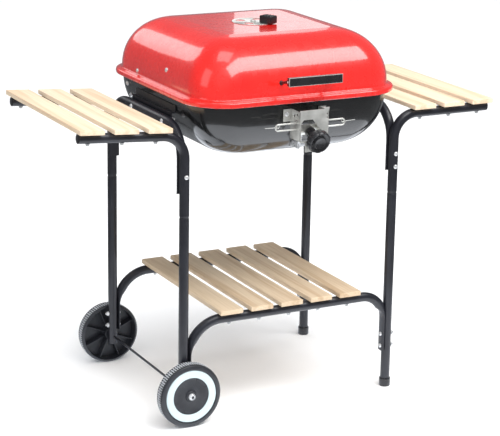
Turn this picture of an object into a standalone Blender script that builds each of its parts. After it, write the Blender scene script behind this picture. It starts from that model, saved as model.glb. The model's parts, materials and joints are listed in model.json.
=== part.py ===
"""Square charcoal grill on a wheeled tube stand with slatted side tables and a shelf.

Metres, +Z up, front at -Y.
"""

import math

import bmesh
import bpy
from mathutils import Matrix, Vector

# Driving dimensions
GAP = 0.0003
LEG_X = 0.288
LEG_Y = 0.2175
TUBE_R = 0.012
TUBE_SIDES = 10
CENTRING_Y = 0.0353
LEG_JOINT_Z = 0.515
SHELF_Z = 0.250
SHELF_END_Z = 0.098
TABLE_Z = 0.716
TABLE_END_X = 0.556
LEFT_TABLE_TILT = math.radians(3.7)
PLUG_T = 0.002
LEFT_LEG_FOOT_Z = 0.060
LEG_BEND_R = 0.060
SHELF_BEND_R = (0.085, 0.063)
FLAT_T = 0.005
FLAT_SPREAD = 0.16
ARCH_BEND_R = 0.080
ARCH_Z = 0.7305
ARCH_END_Z = 0.572
SLAT_T = 0.012
TABLE_SLAT = (0.062, 0.490)
TABLE_SLAT_X = (0.361, 0.446, 0.531)
LEFT_SLAT_SHIFT = 0.001465
SHELF_SLAT = (0.061, 0.474)
SHELF_SLAT_PITCH = 0.083

WHEEL_R = 0.080
WHEEL_W = 0.034
WHEEL_GAP = 0.0035
AXLE_R = 0.0032
AXLE_OVERHANG = 0.006
WHEEL_SEGMENTS = 24
BAND_R = (0.0470, 0.0655)
FOOT_CAP_H = 0.022
FOOT_CAP_R = 0.0145
FOOT_CAP_BORE = 0.0124
FOOT_CAP_FLOOR = 0.004

SHEET = 0.0012
SHELL_POWER = 2.1
RIM_Z = 0.7857
LID_RIM = (0.2830, 0.2905, 0.1110)
LID_WALL = (0.2675, 0.2750, 0.0955)
LID_WALL_Z = 0.803
LID_FACET = (0.1445, 0.1425, 0.0140)
LID_TOP_Z = 0.932
BOWL_RIM = (0.2645, 0.2720, 0.0925)
BOWL_RIM_Z = 0.790
BOWL_FLOOR = (0.1430, 0.1800, 0.0400)
BOWL_FLOOR_Z = 0.6517
BRACKET_LENGTH = 0.23

HINGE_Y = 0.160
HINGE_Z = 0.737
LID_SCREWS = ((-0.060, 0.841), (0.102, 0.810))
STOP_BOLT = (0.171, 0.766)
ARM_ELBOW = (0.105, 0.765)
ARM_HALF_W = 0.0065
ARM_X = 0.2465
ARM_T = 0.003
BOLT_R = 0.003
BOLT_HOLE_R = 0.0035

HANDLE = (0.144, 0.012, 0.0217)
HANDLE_Y = -0.315
HANDLE_Z = 0.845
HANDLE_POST_X = 0.063
HANDLE_POST_R = 0.006
HANDLE_POST_END = (-0.2722, 0.834)
VENT_R = 0.053
VENT_HOLE_R = 0.012
VENT_HOLE_RING = 0.033
VENT_TAB = (0.036, 0.028, 0.020)
VENT_TAB_ANGLE = math.radians(-63)
VENT_TAB_REACH = 0.046
DAMPER_R = 0.045
DAMPER_HOLE_R = 0.010
DAMPER_HOLE_RING = 0.028

COOKING_Z = 0.769
COOKING_HALF = (0.228, 0.236)
COOKING_GAPS = 20
CHARCOAL_Z = 0.690
CHARCOAL_HALF = (0.205, 0.212)
CHARCOAL_GAPS = 14

KNOB_Y = -0.344
KNOB_Z = 0.7025
KNOB_R = 0.0285
SHAFT_TILT = math.radians(18)
SHAFT_R = 0.004
PINION_T = 0.0641
PINION_PITCH_R = 0.008
PINION_TEETH = 10
LIFT_TRAVEL = 0.050
LIFT_ARM_X = -0.013
LIFT_SLOT = (0.005, 0.100, 0.0705)
LIFT_SLOT_Z = 0.7022
PLATE_Y = -0.3225
PLATE_HALF_X = 0.0385
PLATE_Z = (0.697, 0.774)
PLATE_T = 0.0015
CHEEK_DEPTH = 0.049
WIRE_R = 0.002
WIRE_Z = (0.7265, 0.7415)
WIRE_Y = -0.3035

for old in list(bpy.data.objects):
    bpy.data.objects.remove(old, do_unlink=True)

PARTS = bpy.data.collections.new("square_charcoal_grill")
CUTTERS = bpy.data.collections.new("cutters")
bpy.context.scene.collection.children.link(PARTS)
bpy.context.scene.collection.children.link(CUTTERS)


def material(name, colour, roughness, metallic=0.0):
    made = bpy.data.materials.new(name)
    made.use_nodes = True
    shader = made.node_tree.nodes["Principled BSDF"]
    shader.inputs["Base Color"].default_value = (*colour, 1.0)
    shader.inputs["Roughness"].default_value = roughness
    shader.inputs["Metallic"].default_value = metallic
    return made


RED = material("red_enamel", (0.75, 0.015, 0.012), 0.12)
BLACK = material("black_enamel", (0.012, 0.012, 0.014), 0.10)
POWDER = material("black_powder_coat", (0.02, 0.02, 0.024), 0.35)
PINE = material("pine", (0.80, 0.62, 0.42), 0.55)
PLASTIC = material("black_plastic", (0.015, 0.015, 0.016), 0.30)
WHEEL_GREY = material("wheel_plastic", (0.035, 0.037, 0.040), 0.45)
WHITE = material("white_band", (0.75, 0.82, 0.86), 0.40)
CHROME = material("chrome", (0.75, 0.74, 0.71), 0.12, 1.0)
ZINC = material("zinc", (0.62, 0.62, 0.60), 0.30, 1.0)
GRATE = material("plated_wire", (0.55, 0.55, 0.54), 0.30, 1.0)


def anchor(name, place=(0, 0, 0), parent=None):
    """An empty that stands for a rigid body, placed on its joint's axis."""
    made = bpy.data.objects.new(name, None)
    PARTS.objects.link(made)
    made.location = place
    made.parent = parent
    return made


STAND = anchor("stand_anchor", (0, CENTRING_Y, 0))
LID = anchor("lid_anchor", (0, HINGE_Y, HINGE_Z), STAND)
TOP_VENT = anchor("top_vent_anchor", (0, -HINGE_Y, LID_TOP_Z - HINGE_Z), LID)
DAMPER = anchor("bowl_damper_anchor", (0, 0, BOWL_FLOOR_Z), STAND)
KNOB = anchor("lift_knob_anchor", (0, KNOB_Y, KNOB_Z), STAND)
KNOB.rotation_euler = (math.pi / 2 + SHAFT_TILT, 0, 0)
CARRIAGE = anchor("charcoal_lift_anchor", (0, 0, 0), STAND)
WHEELS = {side: anchor(f"{name}_wheel_anchor", (-LEG_X, side * LEG_Y, WHEEL_R), STAND)
          for side, name in ((-1, "front"), (1, "back"))}
OFFSETS = {LID: Vector((0, HINGE_Y, HINGE_Z)), TOP_VENT: Vector((0, 0, LID_TOP_Z)),
           DAMPER: Vector((0, 0, BOWL_FLOOR_Z)), WHEELS[-1]: Vector((-LEG_X, -LEG_Y, WHEEL_R)),
           WHEELS[1]: Vector((-LEG_X, LEG_Y, WHEEL_R))}


def place(obj, name, finish, parent=STAND, smooth=True):
    """Names the object, gives it its material and hangs it on its body's empty.

    The object comes in the stand's own frame.
    """
    obj.name = name
    obj.data.name = name
    obj.data.materials.clear()
    obj.data.materials.append(finish)
    if obj.name not in PARTS.objects:
        PARTS.objects.link(obj)
    obj.parent = parent
    obj.location = obj.location - OFFSETS.get(parent, Vector())
    if smooth and obj.type == "MESH":
        obj.data.shade_smooth()
        obj.data.set_sharp_from_angle(angle=math.radians(35))
    return obj


def mesh_object(bm, name):
    mesh = bpy.data.meshes.new(name)
    bmesh.ops.recalc_face_normals(bm, faces=bm.faces[:])
    bm.to_mesh(mesh)
    bm.free()
    return bpy.data.objects.new(name, mesh)


def box_mesh(size, centre=(0, 0, 0), turn=None):
    bm = bmesh.new()
    bmesh.ops.create_cube(bm, size=1.0)
    bmesh.ops.scale(bm, vec=size, verts=bm.verts[:])
    if turn:
        bmesh.ops.rotate(bm, matrix=turn, verts=bm.verts[:])
    bmesh.ops.translate(bm, vec=centre, verts=bm.verts[:])
    return mesh_object(bm, "box")


def rod_mesh(radius, start, end, sides=12):
    start, end = Vector(start), Vector(end)
    bm = bmesh.new()
    bmesh.ops.create_cone(bm, cap_ends=True, segments=sides, radius1=radius, radius2=radius,
                          depth=(end - start).length)
    turn = (end - start).to_track_quat("Z", "Y").to_matrix()
    bmesh.ops.rotate(bm, matrix=turn, verts=bm.verts[:])
    bmesh.ops.translate(bm, vec=(start + end) / 2, verts=bm.verts[:])
    return mesh_object(bm, "rod")


def joined(objects):
    """One mesh object of several that don't touch each other."""
    bm = bmesh.new()
    for obj in objects:
        obj.data.transform(obj.matrix_basis)
        bm.from_mesh(obj.data)
        bpy.data.objects.remove(obj)
    return mesh_object(bm, "joined")


def soften(obj, width):
    edge = obj.modifiers.new("edge", "BEVEL")
    edge.width = width
    edge.segments = 2


def helper(obj, name):
    """A cutter or joined shape that the build leaves out."""
    obj.name = name
    CUTTERS.objects.link(obj)
    obj.hide_render = True
    obj.display_type = "WIRE"
    return obj


def boolean(obj, other, operation):
    made = obj.modifiers.new(operation.lower(), "BOOLEAN")
    made.operation = operation
    made.object = other
    made.solver = "EXACT"
    return obj


def with_offset(obj, parent):
    """Helpers share the body's empty, so that they keep their place beside the part they cut."""
    obj.parent = parent
    obj.location = obj.location - OFFSETS.get(parent, Vector())
    return obj


def cut(obj, cutters, name, parent=STAND):
    cutter = with_offset(helper(joined(cutters), f"{name}_cutter"), parent)
    return boolean(obj, cutter, "DIFFERENCE")


def add(obj, shapes, name, parent=STAND):
    shape = with_offset(helper(joined(shapes), f"{name}_addition"), parent)
    return boolean(obj, shape, "UNION")


def turned(profile, segments, turn=None, at=(0, 0, 0)):
    """A (radius, height) outline turned about Z, running down its outer side, then turned and moved."""
    mesh = bpy.data.meshes.new("profile")
    edges = [(i, i + 1) for i in range(len(profile) - 1)]
    if profile[0][0] > 0:
        edges.append((len(profile) - 1, 0))
    mesh.from_pydata([(r, 0, z) for r, z in profile], edges, [])
    obj = bpy.data.objects.new("turned", mesh)
    screw = obj.modifiers.new("turn", "SCREW")
    screw.steps = segments
    screw.render_steps = segments
    screw.use_merge_vertices = True
    screw.merge_threshold = 1e-5
    obj.matrix_basis = Matrix.Translation(at) @ (turn or Matrix.Identity(4))
    return obj


def disc_profile(radius, low, high):
    return [(0, high), (radius, high), (radius, low), (0, low)]


def rounded_path(corners, radii, steps=6):
    """Corner points joined by straight runs, each inner corner turned with an arc of its own radius."""
    points = [Vector(corners[0])]
    for before, corner, after, radius in zip(corners, corners[1:], corners[2:], radii):
        before, corner, after = Vector(before), Vector(corner), Vector(after)
        towards = (before - corner).normalized()
        away = (after - corner).normalized()
        half = towards.angle(away) / 2
        centre = corner + (towards + away).normalized() * radius / math.sin(half)
        first = corner + towards * radius / math.tan(half) - centre
        last = corner + away * radius / math.tan(half) - centre
        for step in range(steps + 1):
            share = step / steps
            sweep = first.angle(last)
            points.append(centre + (first * math.sin((1 - share) * sweep) + last * math.sin(share * sweep))
                          / math.sin(sweep))
    points.append(Vector(corners[-1]))
    return points


def curve_object(points, radius, sides, cyclic=False, caps=True):
    curve = bpy.data.curves.new("run", "CURVE")
    curve.dimensions = "3D"
    spline = curve.splines.new("POLY")
    spline.points.add(len(points) - 1)
    for target, point in zip(spline.points, points):
        target.co = (*point, 1.0)
    spline.use_cyclic_u = cyclic
    curve.bevel_depth = radius
    curve.bevel_resolution = (sides - 4) // 2
    curve.use_fill_caps = caps
    return bpy.data.objects.new("run", curve)


def tube(name, points, finish=POWDER):
    return place(curve_object(points, TUBE_R, TUBE_SIDES), name, finish)


def curve_as_mesh(obj):
    """The evaluated curve as a mesh with its caps welded, ready for a Boolean."""
    CUTTERS.objects.link(obj)
    bpy.context.view_layer.update()
    graph = bpy.context.evaluated_depsgraph_get()
    mesh = bpy.data.meshes.new_from_object(obj.evaluated_get(graph))
    made = bpy.data.objects.new("run", mesh)
    made.matrix_basis = obj.matrix_world.copy()
    bpy.data.objects.remove(obj)
    bm = bmesh.new()
    bm.from_mesh(mesh)
    bmesh.ops.remove_doubles(bm, verts=bm.verts[:], dist=1e-5)
    bmesh.ops.recalc_face_normals(bm, faces=bm.faces[:])
    bm.to_mesh(mesh)
    bm.free()
    return made


def outline_object(loops, thickness):
    """Flat outlines in the XY plane, the later ones holes in the first, extruded evenly to both sides."""
    curve = bpy.data.curves.new("outline", "CURVE")
    curve.dimensions = "2D"
    curve.fill_mode = "BOTH"
    curve.extrude = thickness / 2
    for loop in loops:
        spline = curve.splines.new("POLY")
        spline.points.add(len(loop) - 1)
        for target, (x, y) in zip(spline.points, loop):
            target.co = (x, y, 0, 1)
        spline.use_cyclic_u = True
    return bpy.data.objects.new("outline", curve)


def rounded_square(half_x, half_y, radius, z, steps=5):
    points = []
    for quarter in range(4):
        sign_x, sign_y = ((1, 1), (-1, 1), (-1, -1), (1, -1))[quarter]
        for step in range(steps + 1):
            angle = math.radians(90 * (quarter + step / steps))
            points.append((sign_x * (half_x - radius) + radius * math.cos(angle),
                           sign_y * (half_y - radius) + radius * math.sin(angle), z))
    return points


def shell_sections(rim, rim_z, end, end_z, count, power=SHELL_POWER):
    """Rounded squares that swing from an upright rim to a flat end on a superellipse."""
    sections = []
    for index in range(count + 1):
        angle = math.pi / 2 * index / count
        inward = 1 - max(math.cos(angle), 0) ** (2 / power)
        along = math.sin(angle) ** (2 / power)
        half_x, half_y, radius = (a + inward * (b - a) for a, b in zip(rim, end))
        sections.append((half_x, half_y, radius, rim_z + along * (end_z - rim_z)))
    return sections


def shell(sections):
    """A pressed sheet through rounded squares, closed by a flat last panel and thickened inwards."""
    bm = bmesh.new()
    rings = [[bm.verts.new(p) for p in rounded_square(*section)] for section in sections]
    count = len(rings[0])
    for low, high in zip(rings, rings[1:]):
        for i in range(count):
            j = (i + 1) % count
            bm.faces.new((low[i], low[j], high[j], high[i]))
    bm.faces.new(rings[-1])
    if sections[-1][3] < sections[0][3]:
        bmesh.ops.reverse_faces(bm, faces=bm.faces[:])
    mesh = bpy.data.meshes.new("shell")
    bm.to_mesh(mesh)
    bm.free()
    obj = bpy.data.objects.new("shell", mesh)
    wall = obj.modifiers.new("sheet", "SOLIDIFY")
    wall.thickness = SHEET
    wall.offset = -1
    wall.use_even_offset = True
    return obj


def vent_cutters(z, hole_r, ring_r, turn=0.0):
    """A ring of four round holes, turned by a share of the step between them."""
    cutters = []
    for i in range(4):
        angle = math.pi / 2 * (i + turn)
        x, y = ring_r * math.cos(angle), ring_r * math.sin(angle)
        cutters.append(rod_mesh(hole_r, (x, y, z - 0.01), (x, y, z + 0.01)))
    return cutters


def on_table(side, reach, y, up=0.0):
    """A point this far out along a side table's tubes and up from them, and the table's two directions."""
    tilt = LEFT_TABLE_TILT if side < 0 else 0.0
    outward = Vector((side * math.cos(tilt), 0, math.sin(tilt)))
    upward = Vector((-side * math.sin(tilt), 0, math.cos(tilt)))
    point = Vector((side * LEG_X, y, TABLE_Z)) + (reach - LEG_X) * outward + up * upward
    return point, outward, upward


def make_stand():
    for side_x, name_x in ((-1, "left"), (1, "right")):
        for side_y, name_y in ((-1, "front"), (1, "back")):
            x, y = side_x * LEG_X, side_y * LEG_Y
            foot_z = LEFT_LEG_FOOT_Z if side_x < 0 else FOOT_CAP_FLOOR + GAP
            leg = place(rod_mesh(TUBE_R, (x, y, foot_z), (x, y, LEG_JOINT_Z), TUBE_SIDES),
                        f"{name_y}_{name_x}_leg", POWDER)
            if side_x < 0:
                cut(leg, [rod_mesh(AXLE_R + GAP, (x, y - 0.02, WHEEL_R), (x, y + 0.02, WHEEL_R), 16)],
                    f"{name_y}_leg_axle")
            else:
                cap = [(0, FOOT_CAP_FLOOR), (FOOT_CAP_BORE, FOOT_CAP_FLOOR), (FOOT_CAP_BORE, FOOT_CAP_H),
                       (FOOT_CAP_R, FOOT_CAP_H), (FOOT_CAP_R, 0), (0, 0)]
                place(turned(cap, 16, at=(x, y, 0)), f"{name_y}_foot_cap", PLASTIC)
            end, outward, _ = on_table(side_x, TABLE_END_X, y)
            tube(f"{name_y}_{name_x}_table_tube", rounded_path(
                [(x, y, LEG_JOINT_Z + GAP), (x, y, TABLE_Z), end], [LEG_BEND_R]))
            plug = [(0, PLUG_T), (TUBE_R - 0.001, PLUG_T), (TUBE_R, PLUG_T / 2), (TUBE_R, 0), (0, 0)]
            out = outward.to_track_quat("Z", "Y").to_matrix().to_4x4()
            plug = turned(plug, TUBE_SIDES, out, end + GAP * outward)
            place(plug, f"{name_y}_{name_x}_tube_plug", PLASTIC)


def flattened_tube(corners, radii, axis, leg_face):
    """A bent tube whose ends, along the axis, are pressed flat as far as the legs beside them need."""
    path = rounded_path(corners, radii)
    across = Vector((0, 1, 0)) if axis == "x" else Vector((1, 0, 0))
    bm = bmesh.new()
    rings = []
    for i, point in enumerate(path):
        along = (path[min(i + 1, len(path) - 1)] - path[max(i - 1, 0)]).normalized()
        thick = across.cross(along)
        half_t = min(TUBE_R, leg_face - abs(getattr(point, axis)))
        half_w = TUBE_R + FLAT_SPREAD * (TUBE_R - half_t)
        angles = [2 * math.pi * (step + 0.5) / TUBE_SIDES for step in range(TUBE_SIDES)]
        rings.append([bm.verts.new(point + half_t * math.cos(a) * thick + half_w * math.sin(a) * across)
                      for a in angles])
    for low, high in zip(rings, rings[1:]):
        for i in range(TUBE_SIDES):
            j = (i + 1) % TUBE_SIDES
            bm.faces.new((low[i], low[j], high[j], high[i]))
    bm.faces.new(rings[0][::-1])
    bm.faces.new(rings[-1])
    return mesh_object(bm, "run")


def make_arches():
    leg_face = LEG_Y - TUBE_R - GAP
    end_y = leg_face - FLAT_T / 2
    for side, name in ((-1, "left"), (1, "right")):
        x = side * LEG_X
        corners = [(x, -end_y, ARCH_END_Z), (x, -end_y, ARCH_Z),
                   (x, end_y, ARCH_Z), (x, end_y, ARCH_END_Z)]
        arch = flattened_tube(corners, [ARCH_BEND_R] * 2, "y", leg_face)
        place(arch, f"{name}_arch_tube", POWDER)
        strip = [(0.2735, 0.722), (0.2755, 0.722), (0.2755, 0.748), (0.2652, 0.748), (0.2652, 0.764),
                 (0.2632, 0.764), (0.2632, 0.746), (0.2735, 0.746)]
        bracket = outline_object([[(side * a, b) for a, b in strip]], BRACKET_LENGTH)
        bracket.rotation_euler = (math.pi / 2, 0, 0)
        place(bracket, f"{name}_bowl_bracket", POWDER)


def make_shelf():
    leg_face = LEG_X - TUBE_R - GAP
    end_x = leg_face - FLAT_T / 2
    for side, name in ((-1, "front"), (1, "back")):
        y = side * LEG_Y
        corners = [(-end_x, y, SHELF_END_Z), (-end_x, y, SHELF_Z),
                   (end_x, y, SHELF_Z), (end_x, y, SHELF_END_Z)]
        rail = flattened_tube(corners, SHELF_BEND_R, "x", leg_face)
        place(rail, f"{name}_shelf_tube", POWDER)
    for i in range(5):
        top = Vector(((i - 2) * SHELF_SLAT_PITCH, 0, SHELF_Z))
        make_slat(f"shelf_slat_{i + 1}", top, Vector((0, 0, 1)), SHELF_SLAT)


def make_slat(name, on_tube, upward, size):
    """A board lying across two tubes, above a point on their centre lines."""
    turn = upward.rotation_difference(Vector((0, 0, 1))).inverted().to_matrix()
    slat = box_mesh((*size, SLAT_T), on_tube + (TUBE_R + GAP + SLAT_T / 2) * upward, turn)
    edge = slat.modifiers.new("edge", "BEVEL")
    edge.width = 0.0015
    edge.segments = 1
    place(slat, name, PINE, smooth=False)


def make_tables():
    for side, name, shift in ((-1, "left", LEFT_SLAT_SHIFT), (1, "right", 0)):
        for i, x in enumerate(TABLE_SLAT_X):
            point, _, upward = on_table(side, x + shift, 0)
            make_slat(f"{name}_table_slat_{i + 1}", point, upward, TABLE_SLAT)


def make_wheels():
    wheel_y = LEG_Y + TUBE_R + WHEEL_GAP
    reach = wheel_y + WHEEL_W + AXLE_OVERHANG
    place(rod_mesh(AXLE_R, (-LEG_X, -reach, WHEEL_R), (-LEG_X, reach, WHEEL_R), 16), "axle", POWDER)
    tread_in, tread_out, face = 0.006, WHEEL_W - 0.006, WHEEL_W - 0.0040
    bore, web = AXLE_R + GAP, 0.026
    tyre = [(0.0135, WHEEL_W), (0.0135, face), (0.0665, face), (0.0680, WHEEL_W),
            (0.0760, WHEEL_W - 0.001), (WHEEL_R, tread_out), (WHEEL_R, tread_in), (0.0760, 0.001),
            (0.0670, 0), (0.0640, web), (0.0150, web), (0.0140, 0), (bore, 0), (bore, WHEEL_W)]
    band_top, band_low = WHEEL_W - 0.0010, face + GAP
    band = [(BAND_R[0], band_top), (BAND_R[1], band_top), (BAND_R[1], band_low), (BAND_R[0], band_low)]
    nut = [(0, 0.009), (0.005, 0.0085), (0.008, 0.005), (0.0085, 0), (bore, 0), (bore, 0.0062), (0, 0.0062)]
    for side, name in ((-1, "front"), (1, "back")):
        body = WHEELS[side]
        outward = Matrix.Rotation(-side * math.pi / 2, 4, "X")
        inner_face = (-LEG_X, side * wheel_y, WHEEL_R)
        place(turned(tyre, WHEEL_SEGMENTS, outward, inner_face), f"{name}_wheel", WHEEL_GREY, body)
        place(turned(band, WHEEL_SEGMENTS, outward, inner_face), f"{name}_wheel_band", WHITE, body)
        nut_at = (-LEG_X, side * (wheel_y + WHEEL_W + GAP), WHEEL_R)
        place(turned(nut, 12, outward, nut_at), f"{name}_push_nut", ZINC)


def make_bowl():
    bowl = place(shell(shell_sections(BOWL_RIM, BOWL_RIM_Z, BOWL_FLOOR, BOWL_FLOOR_Z, 9)), "bowl", BLACK)
    slot = box_mesh(LIFT_SLOT, (LIFT_ARM_X, -0.250, LIFT_SLOT_Z))
    bolts = [rod_mesh(BOLT_HOLE_R, (side * 0.24, y, z), (side * 0.28, y, z), 10)
             for side in (-1, 1) for y, z in ((HINGE_Y, HINGE_Z), STOP_BOLT)]
    rivet = rod_mesh(BOLT_HOLE_R, (0, 0, BOWL_FLOOR_Z - 0.01), (0, 0, BOWL_FLOOR_Z + 0.01), 10)
    cut(bowl, [slot, *bolts, rivet, *vent_cutters(BOWL_FLOOR_Z, DAMPER_HOLE_R, DAMPER_HOLE_RING)], "bowl")
    below, above = -0.0013, SHEET + GAP
    plate = [(0, 0.0035), (0.005, 0.003), (0.0055, above), (BOLT_R, above), (BOLT_R, -GAP),
             (DAMPER_R, -GAP), (DAMPER_R, below), (0, below)]
    damper = place(turned(plate, 24, at=(0, 0, BOWL_FLOOR_Z)), "bowl_damper", ZINC, DAMPER)
    lever = box_mesh((0.030, 0.014, 0.0008), (0.055, 0, BOWL_FLOOR_Z - 0.0008))
    grip = box_mesh((0.0012, 0.012, 0.0100), (0.0690, 0, BOWL_FLOOR_Z - 0.0055))
    add(damper, [lever], "damper_lever", DAMPER)
    add(damper, [grip], "damper_grip", DAMPER)
    cut(damper, vent_cutters(BOWL_FLOOR_Z, DAMPER_HOLE_R, DAMPER_HOLE_RING), "damper", DAMPER)


def make_lid():
    x, y, r = LID_RIM
    bead = [(x, y, r, RIM_Z), (x, y, r, RIM_Z + 0.009), (x - 0.003, y - 0.003, r - 0.003, RIM_Z + 0.013),
            (x - 0.011, y - 0.011, r - 0.011, RIM_Z + 0.014)]
    sections = bead + shell_sections(LID_WALL, LID_WALL_Z, LID_FACET, LID_TOP_Z, 9)
    lid = place(shell(sections), "lid", RED, LID)
    rivet = rod_mesh(BOLT_HOLE_R, (0, 0, LID_TOP_Z - 0.01), (0, 0, LID_TOP_Z + 0.01), 10)
    cut(lid, [rivet, *vent_cutters(LID_TOP_Z, VENT_HOLE_R, VENT_HOLE_RING)], "lid", LID)


def make_lid_fittings():
    bar = box_mesh(HANDLE, (0, HANDLE_Y - HANDLE[1] / 2, HANDLE_Z))
    soften(place(bar, "lid_handle_bar", PLASTIC, LID), 0.002)
    lean = math.atan2(HANDLE_Z - HANDLE_POST_END[1], HANDLE_POST_END[0] - HANDLE_Y)
    clear = HANDLE_POST_R * math.sin(lean) + GAP
    for side, name in ((-1, "left"), (1, "right")):
        x = side * HANDLE_POST_X
        post = rod_mesh(HANDLE_POST_R, (x, HANDLE_Y + clear, HANDLE_Z), (x, *HANDLE_POST_END), 14)
        place(post, f"{name}_handle_post", CHROME, LID)
    below, above = -SHEET - GAP, 0.0013
    plate = [(0, 0.005), (0.0055, 0.004), (0.0065, above), (VENT_R, above), (VENT_R, GAP), (BOLT_R, GAP),
             (BOLT_R, below), (0.0055, below), (0.005, -0.003), (0, -0.0035)]
    disc = place(turned(plate, 24, at=(0, 0, LID_TOP_Z)), "top_vent_disc", CHROME, TOP_VENT)
    cut(disc, vent_cutters(LID_TOP_Z, VENT_HOLE_R, VENT_HOLE_RING, 0.5), "top_vent", TOP_VENT)
    turn = Matrix.Rotation(VENT_TAB_ANGLE, 3, "Z")
    middle = turn @ Vector((VENT_TAB_REACH, 0, LID_TOP_Z + above + GAP + VENT_TAB[2] / 2))
    tab = box_mesh(VENT_TAB, middle, turn)
    soften(place(tab, "top_vent_tab", PLASTIC, TOP_VENT), 0.003)


def arc_points(centre, radius, start, sweep, steps=6):
    cy, cz = centre
    return [(cy + radius * math.cos(math.radians(start + sweep * i / steps)),
             cz + radius * math.sin(math.radians(start + sweep * i / steps))) for i in range(steps + 1)]


def make_hinges():
    front, rear = (Vector(screw) for screw in LID_SCREWS)
    pivot, elbow = Vector((HINGE_Y, HINGE_Z)), Vector(ARM_ELBOW)
    leg_up = Vector(((elbow - pivot).y, -(elbow - pivot).x)).normalized()
    leg_up = leg_up if leg_up.y > 0 else -leg_up
    leg_angle = math.degrees(math.atan2(leg_up.y, leg_up.x))
    bar_up = Vector(((rear - front).y, -(rear - front).x)).normalized()
    bar_up = bar_up if bar_up.y > 0 else -bar_up
    bar_angle = math.degrees(math.atan2(bar_up.y, bar_up.x))
    eye, end = 0.010, 0.009
    lower = elbow - leg_up * ARM_HALF_W
    upper = elbow + leg_up * ARM_HALF_W
    arm = (arc_points(pivot, eye, leg_angle - 180, 180)
           + [tuple(upper), (upper.x - 0.002, upper.y + 0.007)]
           + arc_points(rear, end, -20, bar_angle + 20, 4)
           + arc_points(front, end, bar_angle, 180, 5)
           + [(lower.x - 0.012, rear.y - end + 0.002), (lower.x - 0.011, lower.y + 0.013),
              (lower.x - 0.007, lower.y + 0.004), tuple(lower)])
    hinge_bolt = [(0, 0.0210), (BOLT_R, 0.0208), (0.006, 0.0170), (BOLT_R, 0.0170), (BOLT_R, 0.0098),
                  (0.0055, 0.0098), (0.0055, 0.0079), (BOLT_R, 0.0079), (BOLT_R, 0.0041), (0.006, 0.0041),
                  (0.006, 0), (0, 0)]
    stop_bolt = [(0, 0.0220), (BOLT_R, 0.0218), (0.006, 0.0182), (BOLT_R, 0.0182), (BOLT_R, 0.0140),
                 (0.0055, 0.0140), (0.0055, 0.0070), (BOLT_R, 0.0070), (BOLT_R, 0), (0, 0)]
    for side, name in ((-1, "left"), (1, "right")):
        plate = outline_object([arm], ARM_T)
        plate.rotation_euler = (math.pi / 2, 0, math.pi / 2)
        plate.location = (side * (ARM_X + ARM_T / 2), 0, 0)
        strap = place(curve_as_mesh(plate), f"{name}_lid_arm", ZINC, LID)
        hole = rod_mesh(BOLT_HOLE_R, (side * 0.240, HINGE_Y, HINGE_Z), (side * 0.260, HINGE_Y, HINGE_Z), 10)
        cut(strap, [hole], f"{name}_arm", LID)
        out = Matrix.Rotation(side * math.pi / 2, 4, "Y")
        inner = side * (ARM_X - 0.0045)
        place(turned(hinge_bolt, 10, out, (inner, HINGE_Y, HINGE_Z)), f"{name}_hinge_bolt", ZINC)
        inner = side * (ARM_X - 0.0005)
        place(turned(stop_bolt, 10, out, (inner, *STOP_BOLT)), f"{name}_stop_bolt", ZINC)


def ring_y(ring, x):
    """How far out in Y a ring of points reaches at that x."""
    pairs = [(a, b) for a, b in zip(ring, ring[1:]) if min(a.x, b.x) <= x <= max(a.x, b.x) and a.x != b.x]
    return max(a.y + (x - a.x) / (b.x - a.x) * (b.y - a.y) for a, b in pairs)


def wire_grid(half, z, gaps, wire_r, frame_r, cross_y):
    """A welded wire grid: rounded frame, evenly spaced bars and cross rods beneath."""
    half_x, half_y = half
    ring = [Vector(p) for p in rounded_square(half_x, half_y, 0.050, z, 4)]
    frame = curve_as_mesh(curve_object(ring, frame_r, 6, cyclic=True, caps=False))
    bars = []
    for i in range(1, gaps):
        x = half_x * (2 * i / gaps - 1)
        reach = ring_y(ring, x)
        bars.append(rod_mesh(wire_r, (x, -reach, z), (x, reach, z), 5))
    rods = [rod_mesh(wire_r, (-half_x, y, z - wire_r), (half_x, y, z - wire_r), 5) for y in cross_y]
    return frame, bars, rods


def make_grates():
    frame, bars, rods = wire_grid(COOKING_HALF, COOKING_Z, COOKING_GAPS, 0.002, 0.003, (-0.12, 0.12))
    grate = place(frame, "cooking_grate", GRATE)
    add(grate, bars, "cooking_bars")
    add(grate, rods, "cooking_rods")
    frame, bars, rods = wire_grid(CHARCOAL_HALF, CHARCOAL_Z, CHARCOAL_GAPS, 0.0025, 0.003, (-0.06, 0.06))
    grate = place(frame, "charcoal_grate", GRATE, CARRIAGE)
    add(grate, bars, "charcoal_bars", CARRIAGE)
    add(grate, rods, "charcoal_rods", CARRIAGE)


def gear_outline(teeth, tip, root, tooth_half, tip_half):
    points = []
    for i in range(teeth):
        middle = 2 * math.pi * i / teeth
        for radius, half in ((root, -tooth_half), (tip, -tip_half), (tip, tip_half), (root, tooth_half)):
            points.append((radius * math.cos(middle + half), radius * math.sin(middle + half)))
    return points


def on_shaft(x, along, up=0.0):
    """A point given by its distance inward along the lift shaft and upward square to it."""
    inward = Vector((0, math.cos(SHAFT_TILT), math.sin(SHAFT_TILT)))
    upward = Vector((0, -math.sin(SHAFT_TILT), math.cos(SHAFT_TILT)))
    return Vector((x, KNOB_Y, KNOB_Z)) + along * inward + up * upward


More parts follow.
